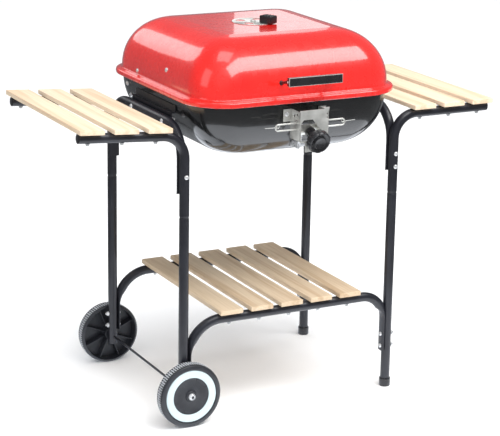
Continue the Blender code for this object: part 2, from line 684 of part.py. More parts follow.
def make_lift_bracket():
    low, high = PLATE_Z
    half = PLATE_HALF_X
    edge = [(-half, low), (-0.026, low - 0.0004), (-0.024, low - 0.002), (-0.024, low - 0.024),
            (0.024, low - 0.024), (0.024, low - 0.002), (0.026, low - 0.0004), (half, low),
            (half, low + 0.055), (half - 0.005, low + 0.055), (half - 0.005, low + 0.058),
            (half, low + 0.058), (half, low + 0.064), (half - 0.005, low + 0.064),
            (half - 0.005, low + 0.067), (half, low + 0.067), (half + 0.002, high + 0.004),
            (half - 0.016, high + 0.004), (half - 0.012, high), (-half, high)]
    window = [(-half + 0.0035, low + 0.003), (-half + 0.0035, low + 0.046), (-half + 0.010, low + 0.054),
              (-0.004, low + 0.054), (0.016, low + 0.028), (0.016, low - 0.005), (-0.016, low - 0.005),
              (-0.016, low + 0.003)]
    front = outline_object([edge, window], PLATE_T)
    front.rotation_euler = (math.pi / 2, 0, 0)
    front.location = (0, PLATE_Y + PLATE_T / 2, 0)
    bracket = place(curve_as_mesh(front), "lift_bracket", CHROME, smooth=False)
    back = PLATE_Y + CHEEK_DEPTH
    weld = 0.0003
    cheek = (PLATE_T, CHEEK_DEPTH, high - low - 0.004)
    cheek_x = half - PLATE_T / 2 - weld
    cheek_y = (PLATE_Y + back) / 2 + weld
    cheek_z = (low + high) / 2 + 0.001
    cheeks = [box_mesh(cheek, (side * cheek_x, cheek_y, cheek_z)) for side in (-1, 1)]
    add(bracket, cheeks, "bracket_cheeks")
    ear = (0.020, PLATE_T, 0.030)
    ear_x = half + 0.0092
    ear_y = back - PLATE_T / 2
    ear_z = high - 0.019
    ears = [box_mesh(ear, (side * ear_x, ear_y, ear_z)) for side in (-1, 1)]
    add(bracket, ears, "bracket_ears")
    tilt = Matrix.Rotation(SHAFT_TILT, 3, "X")
    bearing = box_mesh((2 * half - 0.001, 0.002, 0.028), on_shaft(0, 0.052, 0.003), tilt)
    add(bracket, [bearing], "bracket_bearing")
    wires = [rod_mesh(WIRE_R + 0.0006, (-0.06, WIRE_Y, z), (0.06, WIRE_Y, z), 8) for z in WIRE_Z]
    bore = rod_mesh(SHAFT_R + 0.0005, on_shaft(0, 0.046), on_shaft(0, 0.058))
    cut(bracket, wires, "bracket_wires")
    cut(bracket, [bore], "bracket_bore")


def make_lift_drive():
    bore = SHAFT_R + GAP
    knob = [(0, 0.010), (KNOB_R - 0.004, 0.010), (KNOB_R, 0.006), (KNOB_R, -0.008),
            (KNOB_R - 0.002, -0.010), (0.0125, -0.010), (0.0130, -0.046), (bore, -0.046),
            (bore, 0.004), (0, 0.004)]
    place(turned(knob, 20), "lift_knob", PLASTIC, KNOB)
    shaft = place(turned(disc_profile(SHAFT_R, -0.0720, 0.0035), 12), "lift_shaft", ZINC, KNOB)
    tip, root = PINION_PITCH_R + 0.0012, PINION_PITCH_R - 0.0018
    gear = outline_object([gear_outline(PINION_TEETH, tip, root, 0.155, 0.085)], 0.005)
    gear.location = (0, 0, -PINION_T)
    pinion = helper(curve_as_mesh(gear), "pinion_addition")
    pinion.parent = KNOB
    boolean(shaft, pinion, "UNION")
    pitch = 2 * math.pi * PINION_PITCH_R / PINION_TEETH
    teeth = []
    for i in range(int((LIFT_TRAVEL + 0.012) / pitch) + 1):
        middle = (1.5 - i) * pitch
        for x, half in ((root, 0.0016), (tip, 0.0007)):
            teeth.append((-2 * PINION_PITCH_R + x, middle + half))
        for x, half in ((tip, 0.0007), (root, 0.0016)):
            teeth.append((-2 * PINION_PITCH_R + x, middle - half))
    back, top, bottom = -0.0160, teeth[0][1] + 0.001, teeth[-1][1] - 0.001
    face = teeth[0][0]
    strip = outline_object([[(back, bottom), (back, top), (face, top), *teeth, (face, bottom)]], 0.004)
    strip.rotation_euler = (SHAFT_TILT + math.pi / 2, 0, 0)
    strip.location = on_shaft(0, PINION_T)
    rack = place(curve_as_mesh(strip), "charcoal_lifter", ZINC, CARRIAGE)
    arm = box_mesh((0.003, 0.385, 0.014), (LIFT_ARM_X, -0.0795, CHARCOAL_Z - 0.013))
    cross = [box_mesh((0.26, 0.014, 0.012), (LIFT_ARM_X, y, CHARCOAL_Z - 0.0096)) for y in (-0.115, 0.105)]
    add(rack, [arm], "lifter_arm", CARRIAGE)
    add(rack, cross, "lifter_cross", CARRIAGE)


def make_wires():
    low, high = WIRE_Z
    radius = (high - low) / 2
    for side, name in ((-1, "left"), (1, "right")):
        inner, outer = side * 0.034, side * 0.086
        bend = [(outer + side * radius * math.cos(math.radians(a)), WIRE_Y,
                 (low + high) / 2 + radius * math.sin(math.radians(a))) for a in range(-90, 91, 30)]
        points = [(inner, WIRE_Y, low), *bend, (inner, WIRE_Y, high)]
        place(curve_object(points, WIRE_R, 8), f"{name}_wire_hook", CHROME)


make_stand()
make_arches()
make_shelf()
make_tables()
make_wheels()
make_bowl()
make_lid()
make_lid_fittings()
make_hinges()
make_grates()
make_lift_bracket()
make_lift_drive()
make_wires()
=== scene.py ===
"""Looks of the square charcoal grill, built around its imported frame. Metres, +Z up, front at -Y."""

import json
import math

import bmesh
import bpy
from mathutils import Matrix, Vector


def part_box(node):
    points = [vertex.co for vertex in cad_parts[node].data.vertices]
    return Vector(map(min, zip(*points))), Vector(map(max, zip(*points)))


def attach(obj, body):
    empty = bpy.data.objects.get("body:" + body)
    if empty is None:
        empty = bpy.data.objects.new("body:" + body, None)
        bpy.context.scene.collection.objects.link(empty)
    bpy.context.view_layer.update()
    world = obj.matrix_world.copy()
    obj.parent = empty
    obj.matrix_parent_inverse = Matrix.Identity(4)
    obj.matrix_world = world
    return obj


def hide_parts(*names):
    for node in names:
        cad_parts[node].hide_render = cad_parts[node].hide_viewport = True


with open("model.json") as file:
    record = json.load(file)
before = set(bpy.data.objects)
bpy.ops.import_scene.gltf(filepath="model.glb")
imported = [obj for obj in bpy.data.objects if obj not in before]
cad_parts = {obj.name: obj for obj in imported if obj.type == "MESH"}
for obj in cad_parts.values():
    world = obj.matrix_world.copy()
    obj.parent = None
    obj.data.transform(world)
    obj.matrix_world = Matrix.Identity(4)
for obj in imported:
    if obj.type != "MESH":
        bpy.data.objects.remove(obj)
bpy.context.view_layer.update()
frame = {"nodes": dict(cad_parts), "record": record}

scene = bpy.context.scene


def middle(node):
    low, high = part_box(node)
    return (low + high) / 2


# Places read from the frame. Shapes below are made round the middle of the stand, then moved to MIDDLE_Y.
MIDDLE_Y = middle("lid").y
LEG_X = middle("front_right_leg").x
LEG_Y = MIDDLE_Y - middle("front_right_leg").y
LEG_JOINT_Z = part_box("front_right_leg")[1].z
LEFT_FOOT_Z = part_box("front_left_leg")[0].z
TABLE_Z = middle("front_right_tube_plug").z
TABLE_END_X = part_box("front_right_table_tube")[1].x
WHEEL_CENTRE_Z = middle("front_wheel").z
WHEEL_INNER_Y = MIDDLE_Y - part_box("front_wheel")[1].y
LID_TOP_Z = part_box("lid")[1].z
RIM_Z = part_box("lid")[0].z

# Sizes that the frame's solids don't give directly
GAP = 0.0003
TUBE_R = 0.012
SHELF_Z = 0.250
SHELF_END_Z = 0.098
LEG_BEND_R = 0.060
SHELF_BEND_R = (0.085, 0.063)
FLAT_T = 0.005
FLAT_SPREAD = 0.16
LEFT_TABLE_TILT = math.radians(3.7)
ARCH_BEND_R = 0.080
ARCH_Z = 0.7305
ARCH_END_Z = 0.572
WHEEL_W = 0.034
SHEET = 0.0012
SHELL_POWER = 2.1
SHELL_STOP = math.radians(77)
LID_RIM = (0.2830, 0.2905, 0.1110)
LID_WALL = (0.2675, 0.2750, 0.0955)
LID_WALL_Z = 0.803
LID_FACET = (0.1445, 0.1425, 0.0140)
BOWL_RIM = (0.2645, 0.2720, 0.0925)
BOWL_RIM_Z = 0.790
BOWL_FLOOR = (0.1430, 0.1800, 0.0400)
BOWL_FLOOR_Z = 0.6517
CORNER_STEPS = 16
SIDE_STEPS = 12
LAP_BOLT_Z = {-1: (0.617,), 1: (0.585, 0.618)}
SHELF_BOLT_Z = (0.111, 0.1425)
BRACKET_BOLT_Y = (-0.113, 0.067)
LID_SCREWS = ((-0.060, 0.841), (0.102, 0.810))
HINGE = (0.160, 0.737)
STOP_BOLT = (0.171, 0.766)
ARM_X = 0.2465
VENT_HOLE_RING = 0.033
VENT_HOLE_R = 0.012
DAMPER_HOLE_RING = 0.028
DAMPER_HOLE_R = 0.010
HANDLE_Y = -0.315
HANDLE_Z = 0.845
HANDLE_POST_X = 0.063
HANDLE_POST_WAY = (0, 0.0428, -0.0110)
KNOB_Y = -0.344
KNOB_Z = 0.7025
SHAFT_TILT = math.radians(18)
PLATE_Y = -0.3225
PLATE_HALF_X = 0.0385
PLATE_Z = (0.697, 0.774)
PLATE_T = 0.0015
CHEEK_DEPTH = 0.049
WIRE_Z = (0.7265, 0.7415)
WIRE_Y = -0.3035
COOKING_GRATE = {"half": (0.228, 0.236), "z": 0.769, "gaps": 20, "wire_r": 0.002, "cross_y": (-0.12, 0.12)}
CHARCOAL_GRATE = {"half": (0.205, 0.212), "z": 0.690, "gaps": 14, "wire_r": 0.0025, "cross_y": (-0.06, 0.06)}
LEDGE_X = 0.224
LEDGE_Y = (-0.17, 0.07)
LEDGE_Z = 0.7652
TREAD_FOOT_R = 0.0792
TREAD_TOP_R = 0.0798
RIB_COUNT = 84
RIVET_HOLE_R = 0.0035
SHARP_ANGLE = 35
SECTION_COUNT = 26
LAMP_TARGET = Vector((0, 0, 0.8))


# Materials

def new_material(name, roughness, metallic=0.0, coat=0.0):
    made = bpy.data.materials.new(name)
    made.use_nodes = True
    shader = made.node_tree.nodes["Principled BSDF"]
    shader.inputs["Roughness"].default_value = roughness
    shader.inputs["Metallic"].default_value = metallic
    shader.inputs["Coat Weight"].default_value = coat
    shader.inputs["Coat Roughness"].default_value = 0.04
    return made


def add_node(tree, kind, sources=None, values=None, **settings):
    """A shader node with linked sources and plain values on its named sockets."""
    node = tree.nodes.new(kind)
    for key, value in settings.items():
        setattr(node, key, value)
    for key, value in (values or {}).items():
        node.inputs[key].default_value = value
    for key, output in (sources or {}).items():
        tree.links.new(output, node.inputs[key])
    return node


def ramp(tree, factor, stops):
    """Colours that the factor runs through, as (position, (r, g, b)) stops."""
    node = add_node(tree, "ShaderNodeValToRGB", {"Fac": factor})
    elements = node.color_ramp.elements
    while len(elements) < len(stops):
        elements.new(0.5)
    for element, (position, colour) in zip(elements, stops):
        element.position = position
        element.color = (*colour, 1.0)
    return node.outputs["Color"]


def object_noise(tree, scale, detail=3.0, stretch=(1, 1, 1), roughness=0.5):
    coords = add_node(tree, "ShaderNodeTexCoord").outputs["Object"]
    mapped = add_node(tree, "ShaderNodeMapping", {"Vector": coords}, {"Scale": stretch})
    noise = add_node(tree, "ShaderNodeTexNoise", {"Vector": mapped.outputs["Vector"]},
                     {"Scale": scale, "Detail": detail, "Roughness": roughness})
    return noise.outputs["Fac"]


def blend(tree, kind, first, second):
    """Mixes two colours. Each is a socket, except that the second may be a plain colour."""
    node = add_node(tree, "ShaderNodeMix", values={"Factor": 1.0}, data_type="RGBA", blend_type=kind)
    sockets = [socket for socket in node.inputs if socket.type == "RGBA"]
    tree.links.new(first, sockets[0])
    if isinstance(second, tuple):
        sockets[1].default_value = (*second, 1.0)
    else:
        tree.links.new(second, sockets[1])
    return node


def spread(tree, value, low, high):
    """The noise value's usual span stretched to run from low to high."""
    node = add_node(tree, "ShaderNodeMapRange", {"Value": value},
                    {"From Min": 0.3, "From Max": 0.7, "To Min": low, "To Max": high})
    return node.outputs["Result"]


def finish_with(tree, colour, roughness, height, depth):
    shader = tree.nodes["Principled BSDF"]
    relief = add_node(tree, "ShaderNodeBump", {"Height": height}, {"Strength": 1.0, "Distance": depth})
    tree.links.new(colour, shader.inputs["Base Color"])
    tree.links.new(roughness, shader.inputs["Roughness"])
    tree.links.new(relief.outputs["Normal"], shader.inputs["Normal"])


def mottled(name, dark, light, roughness, grain, depth, metallic=0.0, coat=0.0, drift=7.0):
    """A finish whose colour and gloss drift a little over the surface, with fine grain in relief."""
    made = new_material(name, roughness[0], metallic, coat)
    tree = made.node_tree
    colour = ramp(tree, object_noise(tree, drift, 4.0), ((0.32, dark), (0.68, light)))
    fine = object_noise(tree, grain, 2.0)
    wide = object_noise(tree, drift * 5, 3.0)
    finish_with(tree, colour, spread(tree, wide, *roughness), fine, depth)
    return made


def tread_plastic():
    """The wheels' plastic, with a painted highlight: pale colour on the raised bars of the tread stands in
    for light catching them.
    """
    made = mottled("tread_plastic", (0.013, 0.014, 0.018), (0.026, 0.028, 0.034), (0.34, 0.48),
                   1100.0, 0.00003, drift=24.0)
    tree = made.node_tree
    shader = tree.nodes["Principled BSDF"]
    plain = shader.inputs["Base Color"].links[0].from_socket
    coords = add_node(tree, "ShaderNodeTexCoord").outputs["Object"]
    from_axle = add_node(tree, "ShaderNodeVectorMath", {0: coords}, {1: (LEG_X, 0, -WHEEL_CENTRE_Z)},
                         operation="ADD")
    across = add_node(tree, "ShaderNodeVectorMath", {0: from_axle.outputs[0]}, {1: (1, 0, 1)},
                      operation="MULTIPLY")
    radius = add_node(tree, "ShaderNodeVectorMath", {0: across.outputs[0]}, operation="LENGTH")
    # Painted highlight: the tops of the tread bars, between TREAD_FOOT_R and TREAD_TOP_R from the axle, are
    # coloured pale in place of light catching them.
    raised = add_node(tree, "ShaderNodeMapRange", {"Value": radius.outputs["Value"]},
                      {"From Min": TREAD_FOOT_R, "From Max": TREAD_TOP_R})
    painted_rib_highlight = ramp(tree, raised.outputs["Result"], ((0.0, (0, 0, 0)), (1.0, (0.48, 0.50, 0.53))))
    both = blend(tree, "ADD", plain, painted_rib_highlight)
    tree.links.new(both.outputs[2], shader.inputs["Base Color"])
    return made


def pine(name, early, late, deep):
    """Planed softwood: rings drawn out along the slat, fine fibres, and a tone of its own for each slat."""
    made = new_material(name, 0.5)
    tree = made.node_tree
    rings = object_noise(tree, 16.0, 2.0, (1.0, 0.045, 1.0), 0.45)
    bands = add_node(tree, "ShaderNodeMath", {0: rings}, {1: 26.0}, operation="MULTIPLY")
    waves = add_node(tree, "ShaderNodeMath", {0: bands.outputs[0]}, operation="SINE")
    lifted = add_node(tree, "ShaderNodeMapRange", {"Value": waves.outputs[0]},
                      {"From Min": -1.0, "From Max": 1.0})
    grain = ramp(tree, lifted.outputs["Result"], ((0.0, early), (0.62, early), (1.0, late)))
    board = object_noise(tree, 9.0, 1.0, (1.0, 0.10, 0.2))
    toned = blend(tree, "MULTIPLY", grain, deep)
    tree.links.new(spread(tree, board, 0.0, 0.55), toned.inputs["Factor"])
    fibres = object_noise(tree, 240.0, 3.0, (1.0, 0.03, 1.0), 0.65)
    shade = ramp(tree, fibres, ((0.30, (0.86, 0.84, 0.80)), (0.62, (1.0, 1.0, 1.0))))
    both = blend(tree, "MULTIPLY", toned.outputs[2], shade)
    finish_with(tree, both.outputs[2], spread(tree, fibres, 0.62, 0.46), fibres, 0.00018)
    return made


FINISH = {
    "red_enamel": mottled("red_enamel", (0.66, 0.010, 0.008), (0.75, 0.017, 0.012), (0.22, 0.32),
                          170.0, 0.000004, coat=1.0),
    "black_enamel": mottled("black_enamel", (0.007, 0.007, 0.007), (0.013, 0.013, 0.013), (0.14, 0.24),
                            150.0, 0.000012, coat=0.6),
    "black_powder": mottled("black_powder", (0.010, 0.010, 0.014), (0.017, 0.018, 0.024), (0.30, 0.40),
                            900.0, 0.000008, drift=12.0),
    "black_plastic": mottled("black_plastic", (0.009, 0.009, 0.010), (0.017, 0.017, 0.019), (0.24, 0.34),
                             1300.0, 0.00002, drift=20.0),
    "wheel_plastic": mottled("wheel_plastic", (0.017, 0.018, 0.022), (0.034, 0.036, 0.043), (0.34, 0.48),
                             1100.0, 0.00003, drift=24.0),
    "white_plastic": mottled("white_plastic", (0.52, 0.63, 0.66), (0.60, 0.71, 0.74), (0.38, 0.50),
                             900.0, 0.00002, drift=18.0),
    "chrome": mottled("chrome", (0.52, 0.52, 0.49), (0.74, 0.74, 0.70), (0.12, 0.24),
                      220.0, 0.00002, metallic=0.62, drift=40.0),
    "zinc": mottled("zinc", (0.56, 0.57, 0.58), (0.78, 0.79, 0.80), (0.24, 0.38),
                    900.0, 0.00002, metallic=0.6, drift=60.0),
    "grate_wire": mottled("grate_wire", (0.46, 0.45, 0.43), (0.62, 0.61, 0.59), (0.24, 0.40),
                          700.0, 0.00003, metallic=1.0, drift=30.0),
    "pine": pine("pine_table", (0.78, 0.64, 0.48), (0.70, 0.54, 0.38), (0.94, 0.88, 0.82)),
}
TREAD = tread_plastic()
SHELF_PINE = pine("pine_shelf", (0.66, 0.53, 0.38), (0.56, 0.42, 0.28), (0.92, 0.84, 0.76))
LID_INSIDE = mottled("lid_inside_enamel", (0.010, 0.010, 0.010), (0.018, 0.018, 0.018), (0.22, 0.34),
                     150.0, 0.000012, coat=0.3)


# Mesh helpers

def skin(bm, rings, caps=True, wrap=False):
    """Quads through rings of points that each run round the same way."""
    rows = [[bm.verts.new(point) for point in ring] for ring in rings]
    count = len(rows[0])
    pairs = list(zip(rows, rows[1:]))
    if wrap:
        pairs.append((rows[-1], rows[0]))
    for low, high in pairs:
        for i in range(count):
            j = (i + 1) % count
            bm.faces.new((low[i], low[j], high[j], high[i]))
    if caps and not wrap:
        bm.faces.new(rows[0][::-1])
        bm.faces.new(rows[-1])
    return rows


def to_object(bm, name, angle=SHARP_ANGLE, recalculate=True):
    if recalculate:
        bmesh.ops.recalc_face_normals(bm, faces=bm.faces[:])
    mesh = bpy.data.meshes.new(name)
    bm.to_mesh(mesh)
    bm.free()
    mesh.shade_smooth()
    mesh.set_sharp_from_angle(angle=math.radians(angle))
    obj = bpy.data.objects.new(name, mesh)
    scene.collection.objects.link(obj)
    return obj


def piece(obj, body, slot, replaced=(), finish=None):
    """Gives the piece its finish, moves it from the stand's middle into place and hangs it on its body."""
    obj.data.materials.append(finish or FINISH[slot])
    obj.location.y = MIDDLE_Y
    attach(obj, body)
    if replaced:
        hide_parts(*replaced)
    return obj


def hang(bm, name, *rest):
    """Makes a piece straight from a bmesh."""
    return piece(to_object(bm, name), *rest)


def hexagon(angle):
    """How far a hexagon's edge is from its middle, as a share of the way to its corner."""
    return math.cos(math.pi / 6) / math.cos(angle % (math.pi / 3) - math.pi / 6)


def facing(point, direction):
    turn = Vector(direction).to_track_quat("Z", "Y").to_matrix().to_4x4()
    return Matrix.Translation(point) @ turn


def turned(bm, profile, matrix, segments=32, around=None, wrap=False):
    """A (radius, height) profile turned about the matrix's Z.

    A third value in a row says how much of the around(angle) shape that row takes.
    """
    rings = []
    for row in profile:
        share = row[2] if len(row) > 2 else 0.0
        ring = []
        for step in range(segments):
            angle = 2 * math.pi * step / segments
            reach = row[0] * (1 + share * (around(angle) - 1)) if around else row[0]
            ring.append(matrix @ Vector((reach * math.cos(angle), reach * math.sin(angle), row[1])))
        rings.append(ring)
    skin(bm, rings, wrap=wrap)


def rounded_path(corners, radii):
    """Corner points joined by straight runs, each inner corner turned with an arc of its own radius."""
    steps = 14
    points = [Vector(corners[0])]
    for before, corner, after, radius in zip(corners, corners[1:], corners[2:], radii):
        before, corner, after = Vector(before), Vector(corner), Vector(after)
        towards = (before - corner).normalized()
        away = (after - corner).normalized()
        half = towards.angle(away) / 2
        centre = corner + (towards + away).normalized() * radius / math.sin(half)
        first = corner + towards * radius / math.tan(half) - centre
        last = corner + away * radius / math.tan(half) - centre
        turn = first.angle(last)
        for step in range(steps + 1):
            share = step / steps
            arc = first * math.sin((1 - share) * turn) + last * math.sin(share * turn)
            points.append(centre + arc / math.sin(turn))
    points.append(Vector(corners[-1]))
    return points


def sweep(bm, points, radius, sides=24, open_ends=False, cyclic=False, side=None):
    """A bar along the points.

    The radius is one number, or a list with a number or an (along side, across) pair for each point.
    """
    points = [Vector(point) for point in points]
    count = len(points)
    radii = radius if isinstance(radius, list) else [radius] * count
    rings = []
    for i, point in enumerate(points):
        ahead = points[(i + 1) % count] if cyclic or i < count - 1 else point
        behind = points[i - 1] if cyclic or i > 0 else point
        along = (ahead - behind).normalized()
        side = along.orthogonal() if side is None else side - side.dot(along) * along
        side.normalize()
        across = along.cross(side)
        size = Vector(radii[i] if isinstance(radii[i], tuple) else (radii[i], radii[i]))
        rings.append((point, along, side.copy(), across, size))
    if open_ends:
        bore = 0.84
        deep = 0.010
        for end, sign in ((0, 1), (-1, -1)):
            point, along, side, across, size = rings[end]
            lip = (point, along, side, across, size * bore)
            floor = (point + sign * deep * along, along, side, across, size * bore)
            if end == 0:
                rings = [floor, lip] + rings
            else:
                rings = rings + [lip, floor]
    loops = []
    for point, along, side, across, size in rings:
        angles = [2 * math.pi * step / sides for step in range(sides)]
        loops.append([point + size.x * math.cos(a) * side + size.y * math.sin(a) * across for a in angles])
    skin(bm, loops, wrap=cyclic)


def block(bm, size, centre, turn=None, edge=0.0006, segments=2):
    """A box with rounded edges."""
    made = bmesh.new()
    bmesh.ops.create_cube(made, size=1.0)
    bmesh.ops.scale(made, vec=size, verts=made.verts[:])
    if edge:
        bmesh.ops.bevel(made, geom=made.edges[:], offset=edge, segments=segments, affect="EDGES", profile=0.5)
    if turn:
        bmesh.ops.rotate(made, matrix=turn, verts=made.verts[:])
    bmesh.ops.translate(made, vec=centre, verts=made.verts[:])
    merge(bm, made)


def merge(bm, other):
    """Adds another bmesh's faces to this one."""
    carried = bpy.data.meshes.new("carried")
    other.to_mesh(carried)
    other.free()
    bm.from_mesh(carried)
    bpy.data.meshes.remove(carried)


def flat(bm, loops, thickness, matrix, edge=0.0002):
    """A flat sheet cut to the first outline, with the later ones as holes, and softly rounded edges."""
    curve = bpy.data.curves.new("outline", "CURVE")
    curve.dimensions = "2D"
    curve.fill_mode = "BOTH"
    curve.extrude = thickness / 2 - edge
    curve.bevel_depth = edge
    curve.bevel_resolution = 1
    curve.offset = -edge
    for loop in loops:
        spline = curve.splines.new("POLY")
        spline.points.add(len(loop) - 1)
        for target, (x, y) in zip(spline.points, loop):
            target.co = (x, y, 0, 1)
        spline.use_cyclic_u = True
    outline = bpy.data.objects.new("outline", curve)
    scene.collection.objects.link(outline)
    graph = bpy.context.evaluated_depsgraph_get()
    mesh = bpy.data.meshes.new_from_object(outline.evaluated_get(graph))
    bpy.data.objects.remove(outline)
    made = bmesh.new()
    made.from_mesh(mesh)
    bpy.data.meshes.remove(mesh)
    bmesh.ops.remove_doubles(made, verts=made.verts[:], dist=1e-6)
    bmesh.ops.transform(made, matrix=matrix, verts=made.verts[:])
    merge(bm, made)


def circle(x, y, radius):
    steps = 20
    return [(x + radius * math.cos(2 * math.pi * i / steps), y + radius * math.sin(2 * math.pi * i / steps))
            for i in range(steps)]


def rounded_corners(half_a, half_b, radius, steps):
    """The arcs at a rounded rectangle's four corners in turn, each a list of (a, b) points."""
    corners = []
    for quarter, (sign_a, sign_b) in enumerate(((1, 1), (-1, 1), (-1, -1), (1, -1))):
        angles = [math.pi / 2 * (quarter + step / steps) for step in range(steps + 1)]
        corners.append([(sign_a * (half_a - radius) + radius * math.cos(angle),
                         sign_b * (half_b - radius) + radius * math.sin(angle)) for angle in angles])
    return corners


def rounded_square(half_x, half_y, radius, z):
    """Points round a square with rounded corners, with points along its straight sides too."""
    points = []
    arcs = rounded_corners(half_x, half_y, radius, CORNER_STEPS)
    corners = [[Vector((x, y, z)) for x, y in arc] for arc in arcs]
    for corner, following in zip(corners, corners[1:] + corners[:1]):
        points += corner
        points += [corner[-1].lerp(following[0], step / SIDE_STEPS) for step in range(1, SIDE_STEPS)]
    return points


def shell_sections(rim, rim_z, end, end_z, count):
    """Rounded squares swinging from an upright rim towards a flat panel, met at a faint crease."""
    sections = []
    for index in range(count + 1):
        angle = SHELL_STOP * index / count
        inward = 1 - math.cos(angle) ** (2 / SHELL_POWER)
        along = math.sin(angle) ** (2 / SHELL_POWER)
        half_x, half_y, radius = (a + inward * (b - a) for a, b in zip(rim, end))
        sections.append((half_x, half_y, radius, rim_z + along * (end_z - rim_z)))
    last = sections[-1]
    crease = (*end, end_z)
    for share in (0.5, 0.94):
        sections.append(tuple(a + share * (b - a) for a, b in zip(last, crease)))
    inset = 0.0035
    sections.append(crease)
    sections.append((end[0] - inset, end[1] - inset, end[2] - inset / 2, end_z))
    return sections


def half_width_at(sections, z):
    """The shell's half width at that height, between two of its sections."""
    ordered = sorted(sections, key=lambda section: section[3])
    for low, high in zip(ordered, ordered[1:]):
        if low[3] <= z <= high[3] and high[3] > low[3]:
            return low[0] + (z - low[3]) / (high[3] - low[3]) * (high[0] - low[0])
    return ordered[0][0]


def edge_rows(rim, rows, rim_z):
    """Sections of a rolled edge, from (inward, up) offsets to the rim."""
    return [(rim[0] - inward, rim[1] - inward, rim[2] - inward, rim_z + up) for inward, up in rows]


def cut_out(obj, name, cutters):
    """The object under a new name, with its modifiers applied and the cutters' shapes taken out."""
    holes = bmesh.new()
    for cutter in cutters:
        cutter(holes)
    tool = to_object(holes, f"{name}_holes")
    cut = obj.modifiers.new("holes", "BOOLEAN")
    cut.object = tool
    cut.solver = "EXACT"
    graph = bpy.context.evaluated_depsgraph_get()
    mesh = bpy.data.meshes.new_from_object(obj.evaluated_get(graph))
    made = bpy.data.objects.new(name, mesh)
    scene.collection.objects.link(made)
    bpy.data.objects.remove(obj)
    bpy.data.objects.remove(tool)
    mesh.shade_smooth()
    mesh.set_sharp_from_angle(angle=math.radians(SHARP_ANGLE))
    return made


def shell(name, sections, cutters):
    """A pressed sheet through the sections, with its wall inwards and the cutters' shapes taken out."""
    bm = bmesh.new()
    rows = skin(bm, [rounded_square(*section) for section in sections], caps=False)
    bm.faces.new(rows[-1])
    if sections[-1][3] < sections[0][3]:
        bmesh.ops.reverse_faces(bm, faces=bm.faces[:])
    sheet = to_object(bm, f"{name}_sheet", recalculate=False)
    wall = sheet.modifiers.new("sheet", "SOLIDIFY")
    wall.thickness = SHEET
    wall.offset = -1
    return cut_out(sheet, name, cutters)


def round_hole(x, y, z, radius, direction=(0, 0, 1), reach=0.012):
    def add(bm):
        profile = ((radius, -reach), (radius, reach))
        turned(bm, profile, facing((x, y, z), direction), 28)
    return add


def ring_of_holes(z, radius, ring, share=0.0):
    angles = [math.pi / 2 * (i + share) for i in range(4)]
    return [round_hole(ring * math.cos(a), ring * math.sin(a), z, radius) for a in angles]


# Lid and bowl

LID_BEAD = ((0.0068, 0.0016), (0.0045, 0.0003), (0.0022, 0.0002), (0.0006, 0.0016), (0.0, 0.0042),
            (0.0, 0.0078), (0.0006, 0.0104), (0.0022, 0.0124), (0.0045, 0.0133), (0.0080, 0.0138),
            (0.0112, 0.0144), (0.0136, 0.0154), (0.0149, 0.0164))
BOWL_LIP = ((-0.0022, -0.0040), (-0.0040, -0.0028), (-0.0044, -0.0006), (-0.0034, 0.0014), (-0.0014, 0.0020),
            (0.0002, 0.0012))
LID_SECTIONS = (edge_rows(LID_RIM, LID_BEAD, RIM_Z)
                + shell_sections(LID_WALL, LID_WALL_Z, LID_FACET, LID_TOP_Z, SECTION_COUNT))
BOWL_SECTIONS = (edge_rows(BOWL_RIM, BOWL_LIP, BOWL_RIM_Z)
                 + shell_sections(BOWL_RIM, BOWL_RIM_Z - 0.0015, BOWL_FLOOR, BOWL_FLOOR_Z, SECTION_COUNT))


def make_lid():
    """The lid's shell, red outside. Its faces that look inwards are black."""
    facing_in = -0.2
    rivet = round_hole(0, 0, LID_TOP_Z, RIVET_HOLE_R)
    holes = ring_of_holes(LID_TOP_Z, VENT_HOLE_R, VENT_HOLE_RING)
    lid = piece(shell("lid_shell", LID_SECTIONS, [rivet, *holes]), "lid", "red_enamel", ["lid"])
    lid.data.materials.append(LID_INSIDE)
    middle_of_rim = Vector((0, 0, RIM_Z))
    for face in lid.data.polygons:
        outward = (face.center - middle_of_rim).normalized()
        if face.normal.dot(outward) < facing_in:
            face.material_index = 1


def make_bowl():
    def lift_slot(bm):
        block(bm, (0.005, 0.100, 0.0705), (-0.013, -0.250, 0.7022), edge=0.0012)
    sides = [round_hole(side * 0.26, y, z, 0.0035, (1, 0, 0), 0.02)
             for side in (-1, 1) for y, z in (HINGE, STOP_BOLT)]
    holes = ring_of_holes(BOWL_FLOOR_Z, DAMPER_HOLE_R, DAMPER_HOLE_RING)
    rivet = round_hole(0, 0, BOWL_FLOOR_Z, RIVET_HOLE_R)
    bowl = shell("bowl_shell", BOWL_SECTIONS, [lift_slot, rivet, *sides, *holes])
    piece(bowl, "stand", "black_enamel", ["bowl"])


# Fasteners

PAN_HEAD = ((0.0056, 0), (0.0056, 0.0008), (0.0050, 0.0022), (0.0036, 0.0033), (0.0024, 0.0036),
            (0.0020, 0.0034), (0.0018, 0.0018))
NUT_END = ((0.0062, 0), (0.0062, 0.0010), (0.0050, 0.0011, 1), (0.0053, 0.0014, 1), (0.0053, 0.0046, 1),
           (0.0044, 0.0052), (0.0026, 0.0052), (0.0026, 0.0078), (0.0020, 0.0084))
HEX_SCREW = ((0.0056, 0), (0.0056, 0.0010), (0.0042, 0.0011, 1), (0.0044, 0.0014, 1), (0.0044, 0.0046, 1),
             (0.0036, 0.0054, 1), (0.0024, 0.0060))


def fastener(bm, profile, point, direction):
    turned(bm, profile, facing(point, direction), 24, hexagon)


